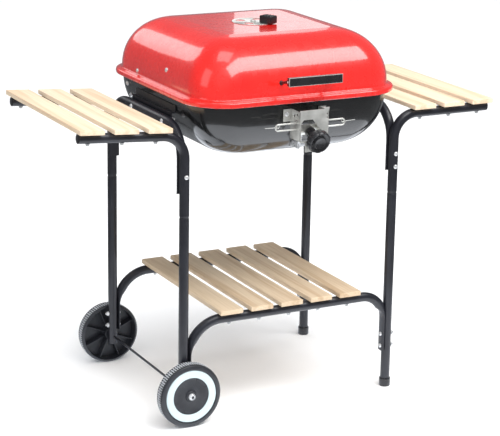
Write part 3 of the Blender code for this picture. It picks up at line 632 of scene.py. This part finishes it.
def make_lap_bolts():
    bm = bmesh.new()
    inner = LEG_Y - TUBE_R - GAP - FLAT_T
    for side, heights in LAP_BOLT_Z.items():
        x = side * LEG_X
        for z in heights:
            fastener(bm, PAN_HEAD, (x, -LEG_Y - TUBE_R, z), (0, -1, 0))
            fastener(bm, NUT_END, (x, -inner, z), (0, 1, 0))
            fastener(bm, PAN_HEAD, (x, inner, z), (0, -1, 0))
            fastener(bm, NUT_END, (x, LEG_Y + TUBE_R, z), (0, 1, 0))
    hang(bm, "arch_lap_bolts", "stand", "zinc")
    bm = bmesh.new()
    inner = LEG_X - TUBE_R - GAP - FLAT_T
    for side in (-1, 1):
        for y in (-LEG_Y, LEG_Y):
            for z in SHELF_BOLT_Z:
                fastener(bm, PAN_HEAD, (side * inner, y, z), (-side, 0, 0))
                fastener(bm, NUT_END, (side * (LEG_X + TUBE_R), y, z), (side, 0, 0))
    hang(bm, "shelf_lap_bolts", "stand", "zinc")


def slat_reaches(side):
    """How far out along its tubes each slat of a side table is."""
    name = "left" if side < 0 else "right"
    outward = on_table(side, LEG_X, 0)[1]
    corner = Vector((side * LEG_X, MIDDLE_Y, TABLE_Z))
    return [LEG_X + (middle(f"{name}_table_slat_{i}") - corner).dot(outward) for i in (1, 2, 3)]


def make_slat_screws():
    bm = bmesh.new()
    for side in (-1, 1):
        for reach in slat_reaches(side):
            for y in (-LEG_Y, LEG_Y):
                point, _, upward = on_table(side, reach, y, -TUBE_R)
                fastener(bm, HEX_SCREW, point, -upward)
    hang(bm, "table_slat_screws", "stand", "zinc")
    bm = bmesh.new()
    for node in [name for name in frame["nodes"] if "shelf_slat" in name]:
        for y in (-LEG_Y, LEG_Y):
            fastener(bm, HEX_SCREW, (middle(node).x, y, SHELF_Z - TUBE_R), (0, 0, -1))
    hang(bm, "shelf_slat_screws", "stand", "zinc")


def make_side_screws():
    brackets = bmesh.new()
    lids = bmesh.new()
    for side in (-1, 1):
        for y in BRACKET_BOLT_Y:
            fastener(brackets, PAN_HEAD, (side * (LEG_X + TUBE_R - 0.0004), y, ARCH_Z), (side, 0, 0))
            fastener(brackets, NUT_END, (side * 0.2735, y, ARCH_Z + 0.0015), (-side, 0, 0.0))
        for y, z in LID_SCREWS:
            wall = half_width_at(LID_SECTIONS, z)
            rise = 0.002
            lean = half_width_at(LID_SECTIONS, z - rise) - half_width_at(LID_SECTIONS, z + rise)
            fastener(lids, PAN_HEAD, (side * (wall - 0.0003), y, z), (side * 2 * rise, 0, lean))
    piece(to_object(brackets, "bracket_bolts"), "stand", "zinc")
    piece(to_object(lids, "lid_arm_screws"), "lid", "zinc")


def make_hinge_bolts():
    hinge = ((0.0055, 0), (0.006, 0.0004, 1), (0.006, 0.0041, 1), (0.003, 0.0042), (0.003, 0.0079),
             (0.0055, 0.0080), (0.0055, 0.0098), (0.003, 0.0099), (0.003, 0.0168), (0.0062, 0.0169),
             (0.0060, 0.0182), (0.0046, 0.0202), (0.0026, 0.0209), (0.0020, 0.0200))
    stop = ((0.0028, 0), (0.003, 0.0004), (0.003, 0.0070), (0.0055, 0.0071), (0.0055, 0.0139),
            (0.003, 0.0140), (0.003, 0.0180), (0.0062, 0.0181), (0.0060, 0.0194), (0.0046, 0.0212),
            (0.0026, 0.0219), (0.0020, 0.0210))
    for side, name in ((-1, "left"), (1, "right")):
        bm = bmesh.new()
        fastener(bm, hinge, (side * (ARM_X - 0.0045), *HINGE), (side, 0, 0))
        hang(bm, f"{name}_hinge_pin", "stand", "zinc", [f"{name}_hinge_bolt"])
        bm = bmesh.new()
        fastener(bm, stop, (side * (ARM_X - 0.0005), *STOP_BOLT), (side, 0, 0))
        hang(bm, f"{name}_stop_pin", "stand", "zinc", [f"{name}_stop_bolt"])


# Stand

def tube(name, points, replaced, radius=TUBE_R, side=None):
    bm = bmesh.new()
    sweep(bm, points, radius, 32, True, side=side)
    return hang(bm, name, "stand", "black_powder", [replaced])


def flattened_tube(name, corners, radii, axis, leg_face, replaced):
    """A bent tube whose ends, along the axis, are pressed flat as far as the legs beside them need."""
    path = rounded_path(corners, radii)
    steps = 6
    start = [path[0].lerp(path[1], step / steps) for step in range(steps)]
    end = [path[-2].lerp(path[-1], step / steps) for step in range(1, steps + 1)]
    path = start + path[1:-1] + end
    halves = []
    for point in path:
        thin = min(TUBE_R, leg_face - abs(getattr(point, axis)))
        halves.append((thin, TUBE_R + FLAT_SPREAD * (TUBE_R - thin)))
    first_side = Vector((1, 0, 0)) if axis == "x" else Vector((0, 1, 0))
    tube(name, path, replaced, halves, first_side)


def on_table(side, reach, y, up=0.0):
    """A point this far out along a side table's tubes and up from them, with its outward and upward ways."""
    tilt = LEFT_TABLE_TILT if side < 0 else 0.0
    outward = Vector((side * math.cos(tilt), 0, math.sin(tilt)))
    upward = Vector((-side * math.sin(tilt), 0, math.cos(tilt)))
    point = Vector((side * LEG_X, y, TABLE_Z)) + (reach - LEG_X) * outward + up * upward
    return point, outward, upward


def make_stand_tubes():
    neck = 0.0112
    for side_x, name_x in ((-1, "left"), (1, "right")):
        for side_y, name_y in ((-1, "front"), (1, "back")):
            x, y = side_x * LEG_X, side_y * LEG_Y
            corner = f"{name_y}_{name_x}"
            foot_z = LEFT_FOOT_Z if side_x < 0 else 0.006
            heights = (foot_z, foot_z + 0.002, LEG_JOINT_Z - 0.004, LEG_JOINT_Z - 0.0012, LEG_JOINT_Z)
            radii = [TUBE_R, TUBE_R, TUBE_R, TUBE_R, TUBE_R - 0.0006]
            tube(f"{corner}_leg_tube", [(x, y, z) for z in heights], f"{corner}_leg", radii)
            end, outward, _ = on_table(side_x, TABLE_END_X, y)
            path = rounded_path([(x, y, LEG_JOINT_Z), (x, y, TABLE_Z), end], [LEG_BEND_R])
            start = path[0]
            shoulder = [start + Vector((0, 0, rise)) for rise in (0, 0.003, 0.0055, 0.0065, 0.010)]
            path = shoulder + path[1:]
            radii = [neck, neck, TUBE_R - 0.0001] + [TUBE_R] * (len(path) - 3)
            tube(f"{corner}_bent_tube", path, f"{corner}_table_tube", radii)
            bm = bmesh.new()
            plug = ((TUBE_R - 0.0006, 0), (TUBE_R, 0.0004), (TUBE_R, 0.0014), (TUBE_R - 0.0012, 0.0023),
                    (TUBE_R - 0.004, 0.0030), (0.0020, 0.0034))
            turned(bm, plug, facing(end, outward), 32)
            hang(bm, f"{corner}_end_plug", "stand", "black_plastic", [f"{corner}_tube_plug"])


def make_arches():
    leg_face = LEG_Y - TUBE_R - GAP
    end_y = leg_face - FLAT_T / 2
    for side, name in ((-1, "left"), (1, "right")):
        x = side * LEG_X
        corners = [(x, -end_y, ARCH_END_Z), (x, -end_y, ARCH_Z), (x, end_y, ARCH_Z), (x, end_y, ARCH_END_Z)]
        flattened_tube(f"{name}_arch", corners, [ARCH_BEND_R] * 2, "y", leg_face, f"{name}_arch_tube")


def make_shelf_tubes():
    leg_face = LEG_X - TUBE_R - GAP
    end_x = leg_face - FLAT_T / 2
    for side, name in ((-1, "front"), (1, "back")):
        y = side * LEG_Y
        corners = [(-end_x, y, SHELF_END_Z), (-end_x, y, SHELF_Z),
                   (end_x, y, SHELF_Z), (end_x, y, SHELF_END_Z)]
        flattened_tube(f"{name}_shelf_rail", corners, SHELF_BEND_R, "x", leg_face, f"{name}_shelf_tube")


def make_foot_caps():
    cap = ((0.0115, 0.0), (0.0135, 0.0005), (0.0144, 0.0020), (0.0146, 0.0190), (0.0144, 0.0208),
           (0.0136, 0.0220), (0.0122, 0.0220), (0.0121, 0.0100))
    for name in ("front_foot_cap", "back_foot_cap"):
        bm = bmesh.new()
        place = middle(name)
        turned(bm, cap, Matrix.Translation((place.x, place.y - MIDDLE_Y, 0)), 40)
        hang(bm, f"{name}_moulding", "stand", "black_plastic", [name])


def board(node, name, upward=Vector((0, 0, 1)), model=None):
    """A planed board with eased edges, as large as the model node and centred on the node."""
    ease = 0.0022
    steps = 4
    end_flatness = 0.4
    low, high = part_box(model or node)
    half = (high - low) / 2
    angles = [math.pi / 2 * i / steps for i in range(steps + 1)]
    rounding = [(ease * (1 - math.cos(angle)), ease * (1 - math.sin(angle))) for angle in angles]
    stations = [(-half.y + along, inset) for along, inset in rounding]
    stations += [(half.y - along, inset) for along, inset in reversed(rounding)]
    rings = []
    for y, inset in stations:
        corners = rounded_corners(half.x - inset, half.z - inset * end_flatness, ease, steps)
        rings.append([(x, y, z) for arc in corners for x, z in arc])
    bm = bmesh.new()
    skin(bm, rings)
    centre = middle(node) - Vector((0, MIDDLE_Y, 0))
    turn = Vector((0, 0, 1)).rotation_difference(upward).to_matrix().to_4x4()
    bmesh.ops.transform(bm, matrix=Matrix.Translation(centre) @ turn, verts=bm.verts[:])
    return to_object(bm, name)


def make_slats():
    for node in [name for name in frame["nodes"] if "_slat_" in name]:
        if node.startswith("shelf"):
            piece(board(node, f"{node}_board"), "stand", "pine", [node], SHELF_PINE)
        else:
            side = -1 if node.startswith("left") else 1
            model = node.replace("left", "right")
            upward = on_table(side, LEG_X, 0)[2]
            piece(board(node, f"{node}_board", upward, model), "stand", "pine", [node])


# Wheels

def tread_wave(angle):
    """Drops from one to the depth of a groove and back, RIB_COUNT times round."""
    groove = 0.960
    return groove if (angle * RIB_COUNT / (2 * math.pi)) % 1 < 0.49 else 1.0


def make_wheels():
    tyre = ((0.0035, 0.0), (0.0130, 0.0), (0.0140, 0.0010), (0.0150, 0.0255), (0.0700, 0.0255),
            (0.0708, 0.0200), (0.0722, 0.0010), (0.0728, 0.0002), (0.0748, 0.0005), (0.0768, 0.0016),
            (0.0784, 0.0036), (0.0794, 0.0052, 1), (0.0800, 0.0070, 1), (0.0800, 0.0145, 1),
            (0.0800, 0.0147), (0.0788, 0.0152), (0.0788, 0.0166), (0.0800, 0.0171), (0.0800, 0.0173, 1),
            (0.0800, 0.0225, 1), (0.0796, 0.0262, 1), (0.0790, 0.0300, 1), (0.0782, 0.0312),
            (0.0762, 0.0328), (0.0732, 0.0338), (0.0685, 0.0340), (0.0668, 0.0330), (0.0662, 0.0300),
            (0.0466, 0.0300), (0.0460, 0.0292), (0.0450, 0.0288), (0.0300, 0.0286), (0.0170, 0.0292),
            (0.0148, 0.0300), (0.0136, 0.0330), (0.0126, 0.0340), (0.0035, 0.0340))
    band = ((0.0470, 0.0303), (0.0470, 0.0318), (0.0480, 0.0329), (0.0562, 0.0334), (0.0646, 0.0329),
            (0.0657, 0.0318), (0.0657, 0.0303))
    nut = ((0.0088, 0.0), (0.0090, 0.0010), (0.0088, 0.0024), (0.0078, 0.0046), (0.0062, 0.0066),
           (0.0050, 0.0072), (0.0040, 0.0068), (0.0036, 0.0058), (0.0035, 0.0030))
    for side, name in ((-1, "front"), (1, "back")):
        face = facing((-LEG_X, side * WHEEL_INNER_Y, WHEEL_CENTRE_Z), (0, side, 0))
        bm = bmesh.new()
        turned(bm, tyre, face, RIB_COUNT * 8, tread_wave, wrap=True)
        for i in range(8):
            add_spoke(bm, face @ Matrix.Rotation(math.pi / 4 * (i + 0.5), 4, "Z"))
        moulding = to_object(bm, f"{name}_wheel_moulding", 30)
        piece(moulding, f"{name}_wheel", "wheel_plastic", [f"{name}_wheel"], TREAD)
        bm = bmesh.new()
        turned(bm, band, face, 128, wrap=True)
        hang(bm, f"{name}_band_ring", f"{name}_wheel", "white_plastic", [f"{name}_wheel_band"])
        bm = bmesh.new()
        turned(bm, nut, face @ Matrix.Translation((0, 0, WHEEL_W + GAP)), 32)
        hang(bm, f"{name}_axle_nut", "stand", "zinc", [f"{name}_push_nut"])


def add_spoke(bm, spoke):
    """A rib across the wheel's hollow inner side, and the small ridge and the fine rays of its outer disc."""
    made = bmesh.new()
    block(made, (0.056, 0.0022, 0.020), (0.0428, 0, 0.0160), edge=0.0005)
    block(made, (0.005, 0.0030, 0.0016), (0.0425, 0, 0.0294), edge=0.0004)
    for ray in range(-3, 4):
        turn = Matrix.Rotation(math.radians(45 / 7 * ray), 3, "Z")
        block(made, (0.023, 0.0007, 0.0007), turn @ Vector((0.0285, 0, 0.0288)), turn, edge=0)
    bmesh.ops.transform(made, matrix=spoke, verts=made.verts[:])
    merge(bm, made)


# Handle, vent and damper

def make_handle():
    bm = bmesh.new()
    thick = 0.012
    front = HANDLE_Y - thick
    block(bm, (0.1430, thick - 0.0008, 0.0207), (0, HANDLE_Y - thick / 2 + 0.0004, HANDLE_Z),
          edge=0.0013, segments=3)
    block(bm, (0.1410, 0.0012, 0.0187), (0, front + 0.0005, HANDLE_Z), edge=0.0004)
    hang(bm, "handle_grip", "lid", "black_plastic", ["lid_handle_bar"])
    bm = bmesh.new()
    block(bm, (0.144, 0.0016, 0.0217), (0, front + 0.0014, HANDLE_Z), edge=0.0006)
    hang(bm, "handle_trim", "lid", "chrome")
    ferrule = ((0.0058, 0.0004), (0.0064, 0.0012), (0.0064, 0.0050), (0.0058, 0.0080), (0.0040, 0.0200),
               (0.0030, 0.0360), (0.0036, 0.0420), (0.0056, 0.0440), (0.0060, 0.0452))
    for side, name in ((-1, "left"), (1, "right")):
        bm = bmesh.new()
        turned(bm, ferrule, facing((side * HANDLE_POST_X, HANDLE_Y, HANDLE_Z), HANDLE_POST_WAY), 28)
        hang(bm, f"{name}_handle_ferrule", "lid", "black_plastic", [f"{name}_handle_post"])
    bm = bmesh.new()
    for side in (-1, 1):
        fastener(bm, ((0.0024, 0), (0.0024, 0.0012), (0.0018, 0.0018), (0.0010, 0.0019)),
                 (side * (0.072 - 0.0004), HANDLE_Y - thick * 0.4, HANDLE_Z), (side, 0, 0))
    hang(bm, "handle_end_pins", "lid", "zinc")


def disc_with_holes(name, profile, z, cutters):
    bm = bmesh.new()
    turned(bm, profile, Matrix.Translation((0, 0, z)), 96, wrap=True)
    return cut_out(to_object(bm, f"{name}_blank"), name, cutters)


def make_vent():
    top = 0.0012
    disc = ((0.0034, GAP), (0.0034, top), (0.0500, top), (0.0512, top + 0.0004), (0.0524, top + 0.0004),
            (0.0530, top - 0.0002), (0.0530, GAP))
    holes = ring_of_holes(LID_TOP_Z, VENT_HOLE_R, VENT_HOLE_RING, 0.5)
    piece(disc_with_holes("vent_plate", disc, LID_TOP_Z, holes), "top_vent", "chrome", ["top_vent_disc"])
    bm = bmesh.new()
    rivet = ((0.0050, -0.0035), (0.0054, -SHEET - GAP), (0.0030, -SHEET - 0.0002), (0.0030, top - 0.0002),
             (0.0070, top - 0.0001), (0.0068, top + 0.0014), (0.0052, top + 0.0030), (0.0026, top + 0.0038))
    turned(bm, rivet, Matrix.Translation((0, 0, LID_TOP_Z)), 28)
    hang(bm, "vent_rivet", "top_vent", "chrome")
    bm = bmesh.new()
    turn = Matrix.Rotation(math.radians(-63), 3, "Z")
    height = 0.0195
    base = LID_TOP_Z + top + GAP
    reach = 0.046
    block(bm, (0.036, 0.028, height), turn @ Vector((reach, 0, base + height / 2)), turn,
          edge=0.0030, segments=4)
    for i in (-1, 0, 1):
        block(bm, (0.0022, 0.022, 0.0016), turn @ Vector((reach + i * 0.008, 0, base + height)), turn)
    hang(bm, "vent_grip", "top_vent", "black_plastic", ["top_vent_tab"])


def make_damper():
    low = -0.0013
    disc = ((0.0034, low), (0.0034, -GAP), (0.0445, -GAP), (0.0450, -0.0006), (0.0450, low + 0.0002),
            (0.0446, low))
    holes = ring_of_holes(BOWL_FLOOR_Z, DAMPER_HOLE_R, DAMPER_HOLE_RING)
    piece(disc_with_holes("damper_plate", disc, BOWL_FLOOR_Z, holes), "damper", "zinc", ["bowl_damper"])
    bm = bmesh.new()
    rivet = ((0.0050, -0.0034), (0.0056, -0.0020), (0.0030, -0.0012), (0.0030, SHEET), (0.0055, SHEET + GAP),
             (0.0050, 0.0030), (0.0020, 0.0036))
    turned(bm, rivet, Matrix.Translation((0, 0, BOWL_FLOOR_Z)), 24)
    block(bm, (0.0320, 0.0140, 0.0009), (0.0540, 0, BOWL_FLOOR_Z - 0.0009), edge=0.0003)
    block(bm, (0.0012, 0.0130, 0.0105), (0.0694, 0, BOWL_FLOOR_Z - 0.0056), edge=0.0004)
    hang(bm, "damper_lever", "damper", "zinc")


# Grates

def make_grate(name, node, body, half, z, gaps, wire_r, cross_y):
    half_x, half_y = half
    frame_r = 0.003
    corner_r = 0.050
    bm = bmesh.new()
    corners = rounded_corners(half_x, half_y, corner_r, 6)
    sweep(bm, [(x, y, z) for arc in corners for x, y in arc], frame_r, 14, cyclic=True)
    for i in range(1, gaps):
        x = half_x * (2 * i / gaps - 1)
        into_corner = max(abs(x) - (half_x - corner_r), 0)
        reach = half_y - corner_r + math.sqrt(corner_r ** 2 - into_corner ** 2)
        sweep(bm, [(x, -reach, z), (x, reach, z)], wire_r, 12)
    for y in cross_y:
        sweep(bm, [(-half_x, y, z - wire_r), (half_x, y, z - wire_r)], wire_r, 12)
    hang(bm, name, body, "grate_wire", [node])


def make_grates():
    make_grate("cooking_grid", "cooking_grate", "stand", **COOKING_GRATE)
    make_grate("charcoal_grid", "charcoal_grate", "charcoal_carriage", **CHARCOAL_GRATE)
    bm = bmesh.new()
    wall = half_width_at(BOWL_SECTIONS, LEDGE_Z - SHEET) - SHEET
    for side in (-1, 1):
        for y in LEDGE_Y:
            block(bm, (wall - LEDGE_X, 0.018, SHEET), (side * (wall + LEDGE_X) / 2, y, LEDGE_Z), edge=0.0003)
    hang(bm, "grate_ledges", "stand", "black_enamel")


# Charcoal lift

def on_shaft(x, along, up=0.0):
    """A point given by its distance inward along the lift shaft and upward square to it."""
    inward = Vector((0, math.cos(SHAFT_TILT), math.sin(SHAFT_TILT)))
    upward = Vector((0, -math.sin(SHAFT_TILT), math.cos(SHAFT_TILT)))
    return Vector((x, KNOB_Y, KNOB_Z)) + along * inward + up * upward


def make_lift_bracket():
    low, high = PLATE_Z
    half = PLATE_HALF_X
    notch = 0.005
    edge = [(-half, low), (-0.026, low), (-0.024, low - 0.002), (-0.024, low - 0.024),
            (0.024, low - 0.024), (0.024, low - 0.002), (0.026, low), (half, low),
            (half, low + 0.055), (half - notch, low + 0.055), (half - notch, low + 0.058),
            (half, low + 0.058), (half, low + 0.064), (half - notch, low + 0.064),
            (half - notch, low + 0.067), (half, low + 0.067), (half + 0.002, high + 0.004),
            (half - 0.016, high + 0.004), (half - 0.012, high), (-half, high)]
    window = [(-half + 0.0035, low + 0.003), (-half + 0.0035, low + 0.046), (-half + 0.010, low + 0.054),
              (-0.004, low + 0.054), (0.016, low + 0.028), (0.016, low - 0.005), (-0.016, low - 0.005),
              (-0.016, low + 0.003)]
    bm = bmesh.new()
    upright = Matrix.Rotation(math.pi / 2, 4, "X")
    flat(bm, [edge, window], PLATE_T, Matrix.Translation((0, PLATE_Y + PLATE_T / 2, 0)) @ upright, 0.0003)
    sideways = Matrix.Rotation(math.pi / 2, 4, "Z") @ upright
    bottom = low + 0.002
    cheek = [(PLATE_Y, bottom), (PLATE_Y + CHEEK_DEPTH, bottom), (PLATE_Y + CHEEK_DEPTH, high - 0.003),
             (PLATE_Y, high - 0.003)]
    holes = [circle(PLATE_Y + 0.014, high - 0.013, 0.0042), circle(PLATE_Y + 0.030, high - 0.017, 0.0034),
             circle(PLATE_Y + 0.018, high - 0.027, 0.0026)]
    for side in (-1, 1):
        x = side * (half - PLATE_T / 2)
        flat(bm, [cheek, *holes], PLATE_T, Matrix.Translation((x, 0, 0)) @ sideways, 0.0003)
        for i in range(4):
            y = PLATE_Y + 0.010 + i * 0.0095
            block(bm, (0.0014, 0.0026, 0.024), (x + side * PLATE_T / 2, y, low + 0.019), edge=0.0006)
        back = PLATE_Y + CHEEK_DEPTH - PLATE_T / 2
        block(bm, (0.020, PLATE_T, 0.030), (side * (half + 0.0092), back, high - 0.019), edge=0.0003)
    tilt = Matrix.Rotation(SHAFT_TILT, 3, "X")
    block(bm, (2 * half - 0.001, 0.002, 0.028), on_shaft(0, 0.052, 0.003), tilt, edge=0.0003)
    hang(bm, "lift_bracket_sheet", "stand", "chrome", ["lift_bracket"])
    bm = bmesh.new()
    screw_y = PLATE_Y + CHEEK_DEPTH - PLATE_T
    for side in (-1, 1):
        fastener(bm, PAN_HEAD, (side * (half + 0.010), screw_y, high - 0.016), (0, -1, 0))
    hang(bm, "lift_bracket_screws", "stand", "zinc")


def knob_wave(angle):
    """Ten shallow hollows round the knob."""
    return 1 - 0.055 * max(math.cos(10 * angle), 0) ** 2


def make_knob():
    profile = ((0.0045, -0.046), (0.0124, -0.046), (0.0130, -0.0445), (0.0127, -0.020), (0.0135, -0.013),
               (0.0180, -0.0105), (0.0262, -0.0100, 1), (0.0280, -0.0085, 1), (0.0286, -0.0040, 1),
               (0.0286, 0.0040, 1), (0.0278, 0.0078, 1), (0.0262, 0.0097, 0.4), (0.0244, 0.0100),
               (0.0222, 0.0090), (0.0186, 0.0062), (0.0168, 0.0060), (0.0158, 0.0070), (0.0152, 0.0098),
               (0.0142, 0.0106), (0.0126, 0.0102), (0.0080, 0.0088), (0.0030, 0.0084))
    bm = bmesh.new()
    place = facing(on_shaft(0, 0), on_shaft(0, -1) - on_shaft(0, 0))
    turned(bm, profile, place, 120, knob_wave)
    pointer = bmesh.new()
    block(pointer, (0.0018, 0.0095, 0.0016), (0, 0.0196, 0.0074), edge=0.0004)
    bmesh.ops.transform(pointer, matrix=place, verts=pointer.verts[:])
    merge(bm, pointer)
    hang(bm, "knob_moulding", "lift_drive", "black_plastic", ["lift_knob"])


def make_wires():
    """A looped wire each side of the bracket, with a small eye and a thin tail."""
    low, high = WIRE_Z
    radius = (high - low) / 2
    mid = (low + high) / 2
    tail_r = 0.0008
    eye_r = 0.004
    for side, name in ((-1, "left"), (1, "right")):
        inner, outer = side * 0.034, side * 0.086
        bend = [(outer + side * radius * math.cos(math.radians(a)), WIRE_Y,
                 mid + radius * math.sin(math.radians(a))) for a in range(-90, 91, 15)]
        bm = bmesh.new()
        sweep(bm, [(inner, WIRE_Y, low), *bend, (inner, WIRE_Y, high)], 0.002, 16)
        start = side * 0.088
        eye = [(start + eye_r * math.cos(a / 8 * math.pi), WIRE_Y - 0.001,
                mid + 0.003 + eye_r * math.sin(a / 8 * math.pi)) for a in range(16)]
        sweep(bm, eye, tail_r, 8, cyclic=True)
        sweep(bm, [(start, WIRE_Y, mid + 0.001), (start + side * 0.034, WIRE_Y, mid + 0.002)], tail_r, 8)
        hang(bm, f"{name}_wire_loop", "stand", "chrome", [f"{name}_wire_hook"])


def dress_cad_nodes():
    """The solids that stay visible take their record slot's finish."""
    slots = {entry["node"]: entry["material_slot"] for entry in frame["record"]["subparts"]}
    for name, node in frame["nodes"].items():
        node.data.materials.clear()
        node.data.materials.append(FINISH[slots[name]])


# Camera, light and floor

def way_to(azimuth, elevation):
    """The direction from the grill to a point at that azimuth and elevation, in degrees."""
    a, e = math.radians(azimuth), math.radians(elevation)
    return Vector((math.sin(a) * math.cos(e), -math.cos(a) * math.cos(e), math.sin(e)))


def add_camera():
    azimuth, roll = -27.5, math.radians(0.98)
    distance = 4.616
    target = Vector((-0.0017, MIDDLE_Y - 0.0053, 0.4272))
    back = way_to(azimuth, 15.86)
    level = way_to(azimuth + 90, 0)
    rise = back.cross(level)
    right = math.cos(roll) * level + math.sin(roll) * rise
    up = -math.sin(roll) * level + math.cos(roll) * rise
    data = bpy.data.cameras.new("camera")
    data.sensor_width = 36.0
    data.lens = 130.17
    data.clip_end = 100.0
    camera = bpy.data.objects.new("camera", data)
    scene.collection.objects.link(camera)
    turn = Matrix((right, up, back)).transposed().to_4x4()
    camera.matrix_world = Matrix.Translation(target + distance * back) @ turn
    scene.camera = camera


def aim(name, lamp, azimuth, elevation, distance=3.0):
    """Places a lamp seen from the grill at that azimuth and elevation, facing it."""
    away = way_to(azimuth, elevation)
    holder = bpy.data.objects.new(name, lamp)
    scene.collection.objects.link(holder)
    holder.location = LAMP_TARGET + distance * away
    holder.rotation_euler = away.to_track_quat("Z", "Y").to_euler()
    return holder


def soft_box(name, azimuth, elevation, distance, size, brightness):
    """A rectangular lamp with the same brightness over its face, whatever its size."""
    lamp = bpy.data.lights.new(name, "AREA")
    lamp.shape = "RECTANGLE"
    lamp.size, lamp.size_y = size
    lamp.energy = brightness * math.pi * size[0] * size[1]
    aim(name, lamp, azimuth, elevation, distance)


def fill_light(name, azimuth, elevation, strength, spread_angle):
    """Broad light from far away that leaves no highlight of its own."""
    lamp = bpy.data.lights.new(name, "SUN")
    lamp.energy = strength
    lamp.angle = math.radians(spread_angle)
    aim(name, lamp, azimuth, elevation).visible_glossy = False


def add_lights():
    world = bpy.data.worlds.new("studio")
    world.use_nodes = True
    background = world.node_tree.nodes["Background"]
    background.inputs["Color"].default_value = (0.90, 0.94, 1.0, 1.0)
    background.inputs["Strength"].default_value = 0.24
    scene.world = world
    fill_light("overhead", 20.0, 78.0, 1.9, 60.0)
    fill_light("front_fill", -27.0, 35.0, 1.5, 50.0)
    soft_box("front_box", 30.0, 52.0, 3.0, (3.0, 1.5), 6.0)
    soft_box("top_box", -40.0, 84.0, 2.6, (1.2, 1.2), 2.5)
    soft_box("left_box", -80.0, 28.0, 3.2, (1.2, 2.0), 1.3)
    soft_box("back_left_strip", 150.0, 17.0, 3.5, (0.5, 1.2), 1.0)
    soft_box("back_right_strip", 198.0, 26.0, 3.5, (1.0, 1.4), 2.2)


def add_bounce_card():
    """A glowing card on the floor round the stand, seen only in reflections."""
    bm = bmesh.new()
    bmesh.ops.create_circle(bm, cap_ends=True, radius=1.05, segments=48)
    bmesh.ops.translate(bm, vec=(0, 0, 0.0005), verts=bm.verts[:])
    card = to_object(bm, "bounce_card", recalculate=False)
    made = new_material("bounce_card", 1.0)
    tree = made.node_tree
    shader = tree.nodes["Principled BSDF"]
    glow = ramp(tree, object_noise(tree, 2.0), ((0.3, (0.66, 0.76, 0.92)), (0.7, (0.78, 0.86, 1.0))))
    tree.links.new(glow, shader.inputs["Emission Color"])
    shader.inputs["Emission Strength"].default_value = 0.8
    card.data.materials.append(made)
    card.visible_camera = False
    card.visible_diffuse = False
    card.visible_shadow = False


def add_floor():
    bm = bmesh.new()
    bmesh.ops.create_grid(bm, x_segments=4, y_segments=4, size=30.0)
    floor = to_object(bm, "studio_floor", recalculate=False)
    floor.data.materials.append(mottled("studio_floor", (0.955, 0.955, 0.955), (0.965, 0.965, 0.965),
                                        (0.75, 0.85), 40.0, 0.00001, drift=0.7))
    floor.visible_glossy = False


dress_cad_nodes()
make_lid()
make_bowl()
make_stand_tubes()
make_arches()
make_shelf_tubes()
make_foot_caps()
make_slats()
make_wheels()
make_handle()
make_vent()
make_damper()
make_hinge_bolts()
make_grates()
make_lift_bracket()
make_knob()
make_wires()
make_lap_bolts()
make_slat_screws()
make_side_screws()
add_camera()
add_lights()
add_floor()
add_bounce_card()
scene.view_settings.view_transform = "Standard"
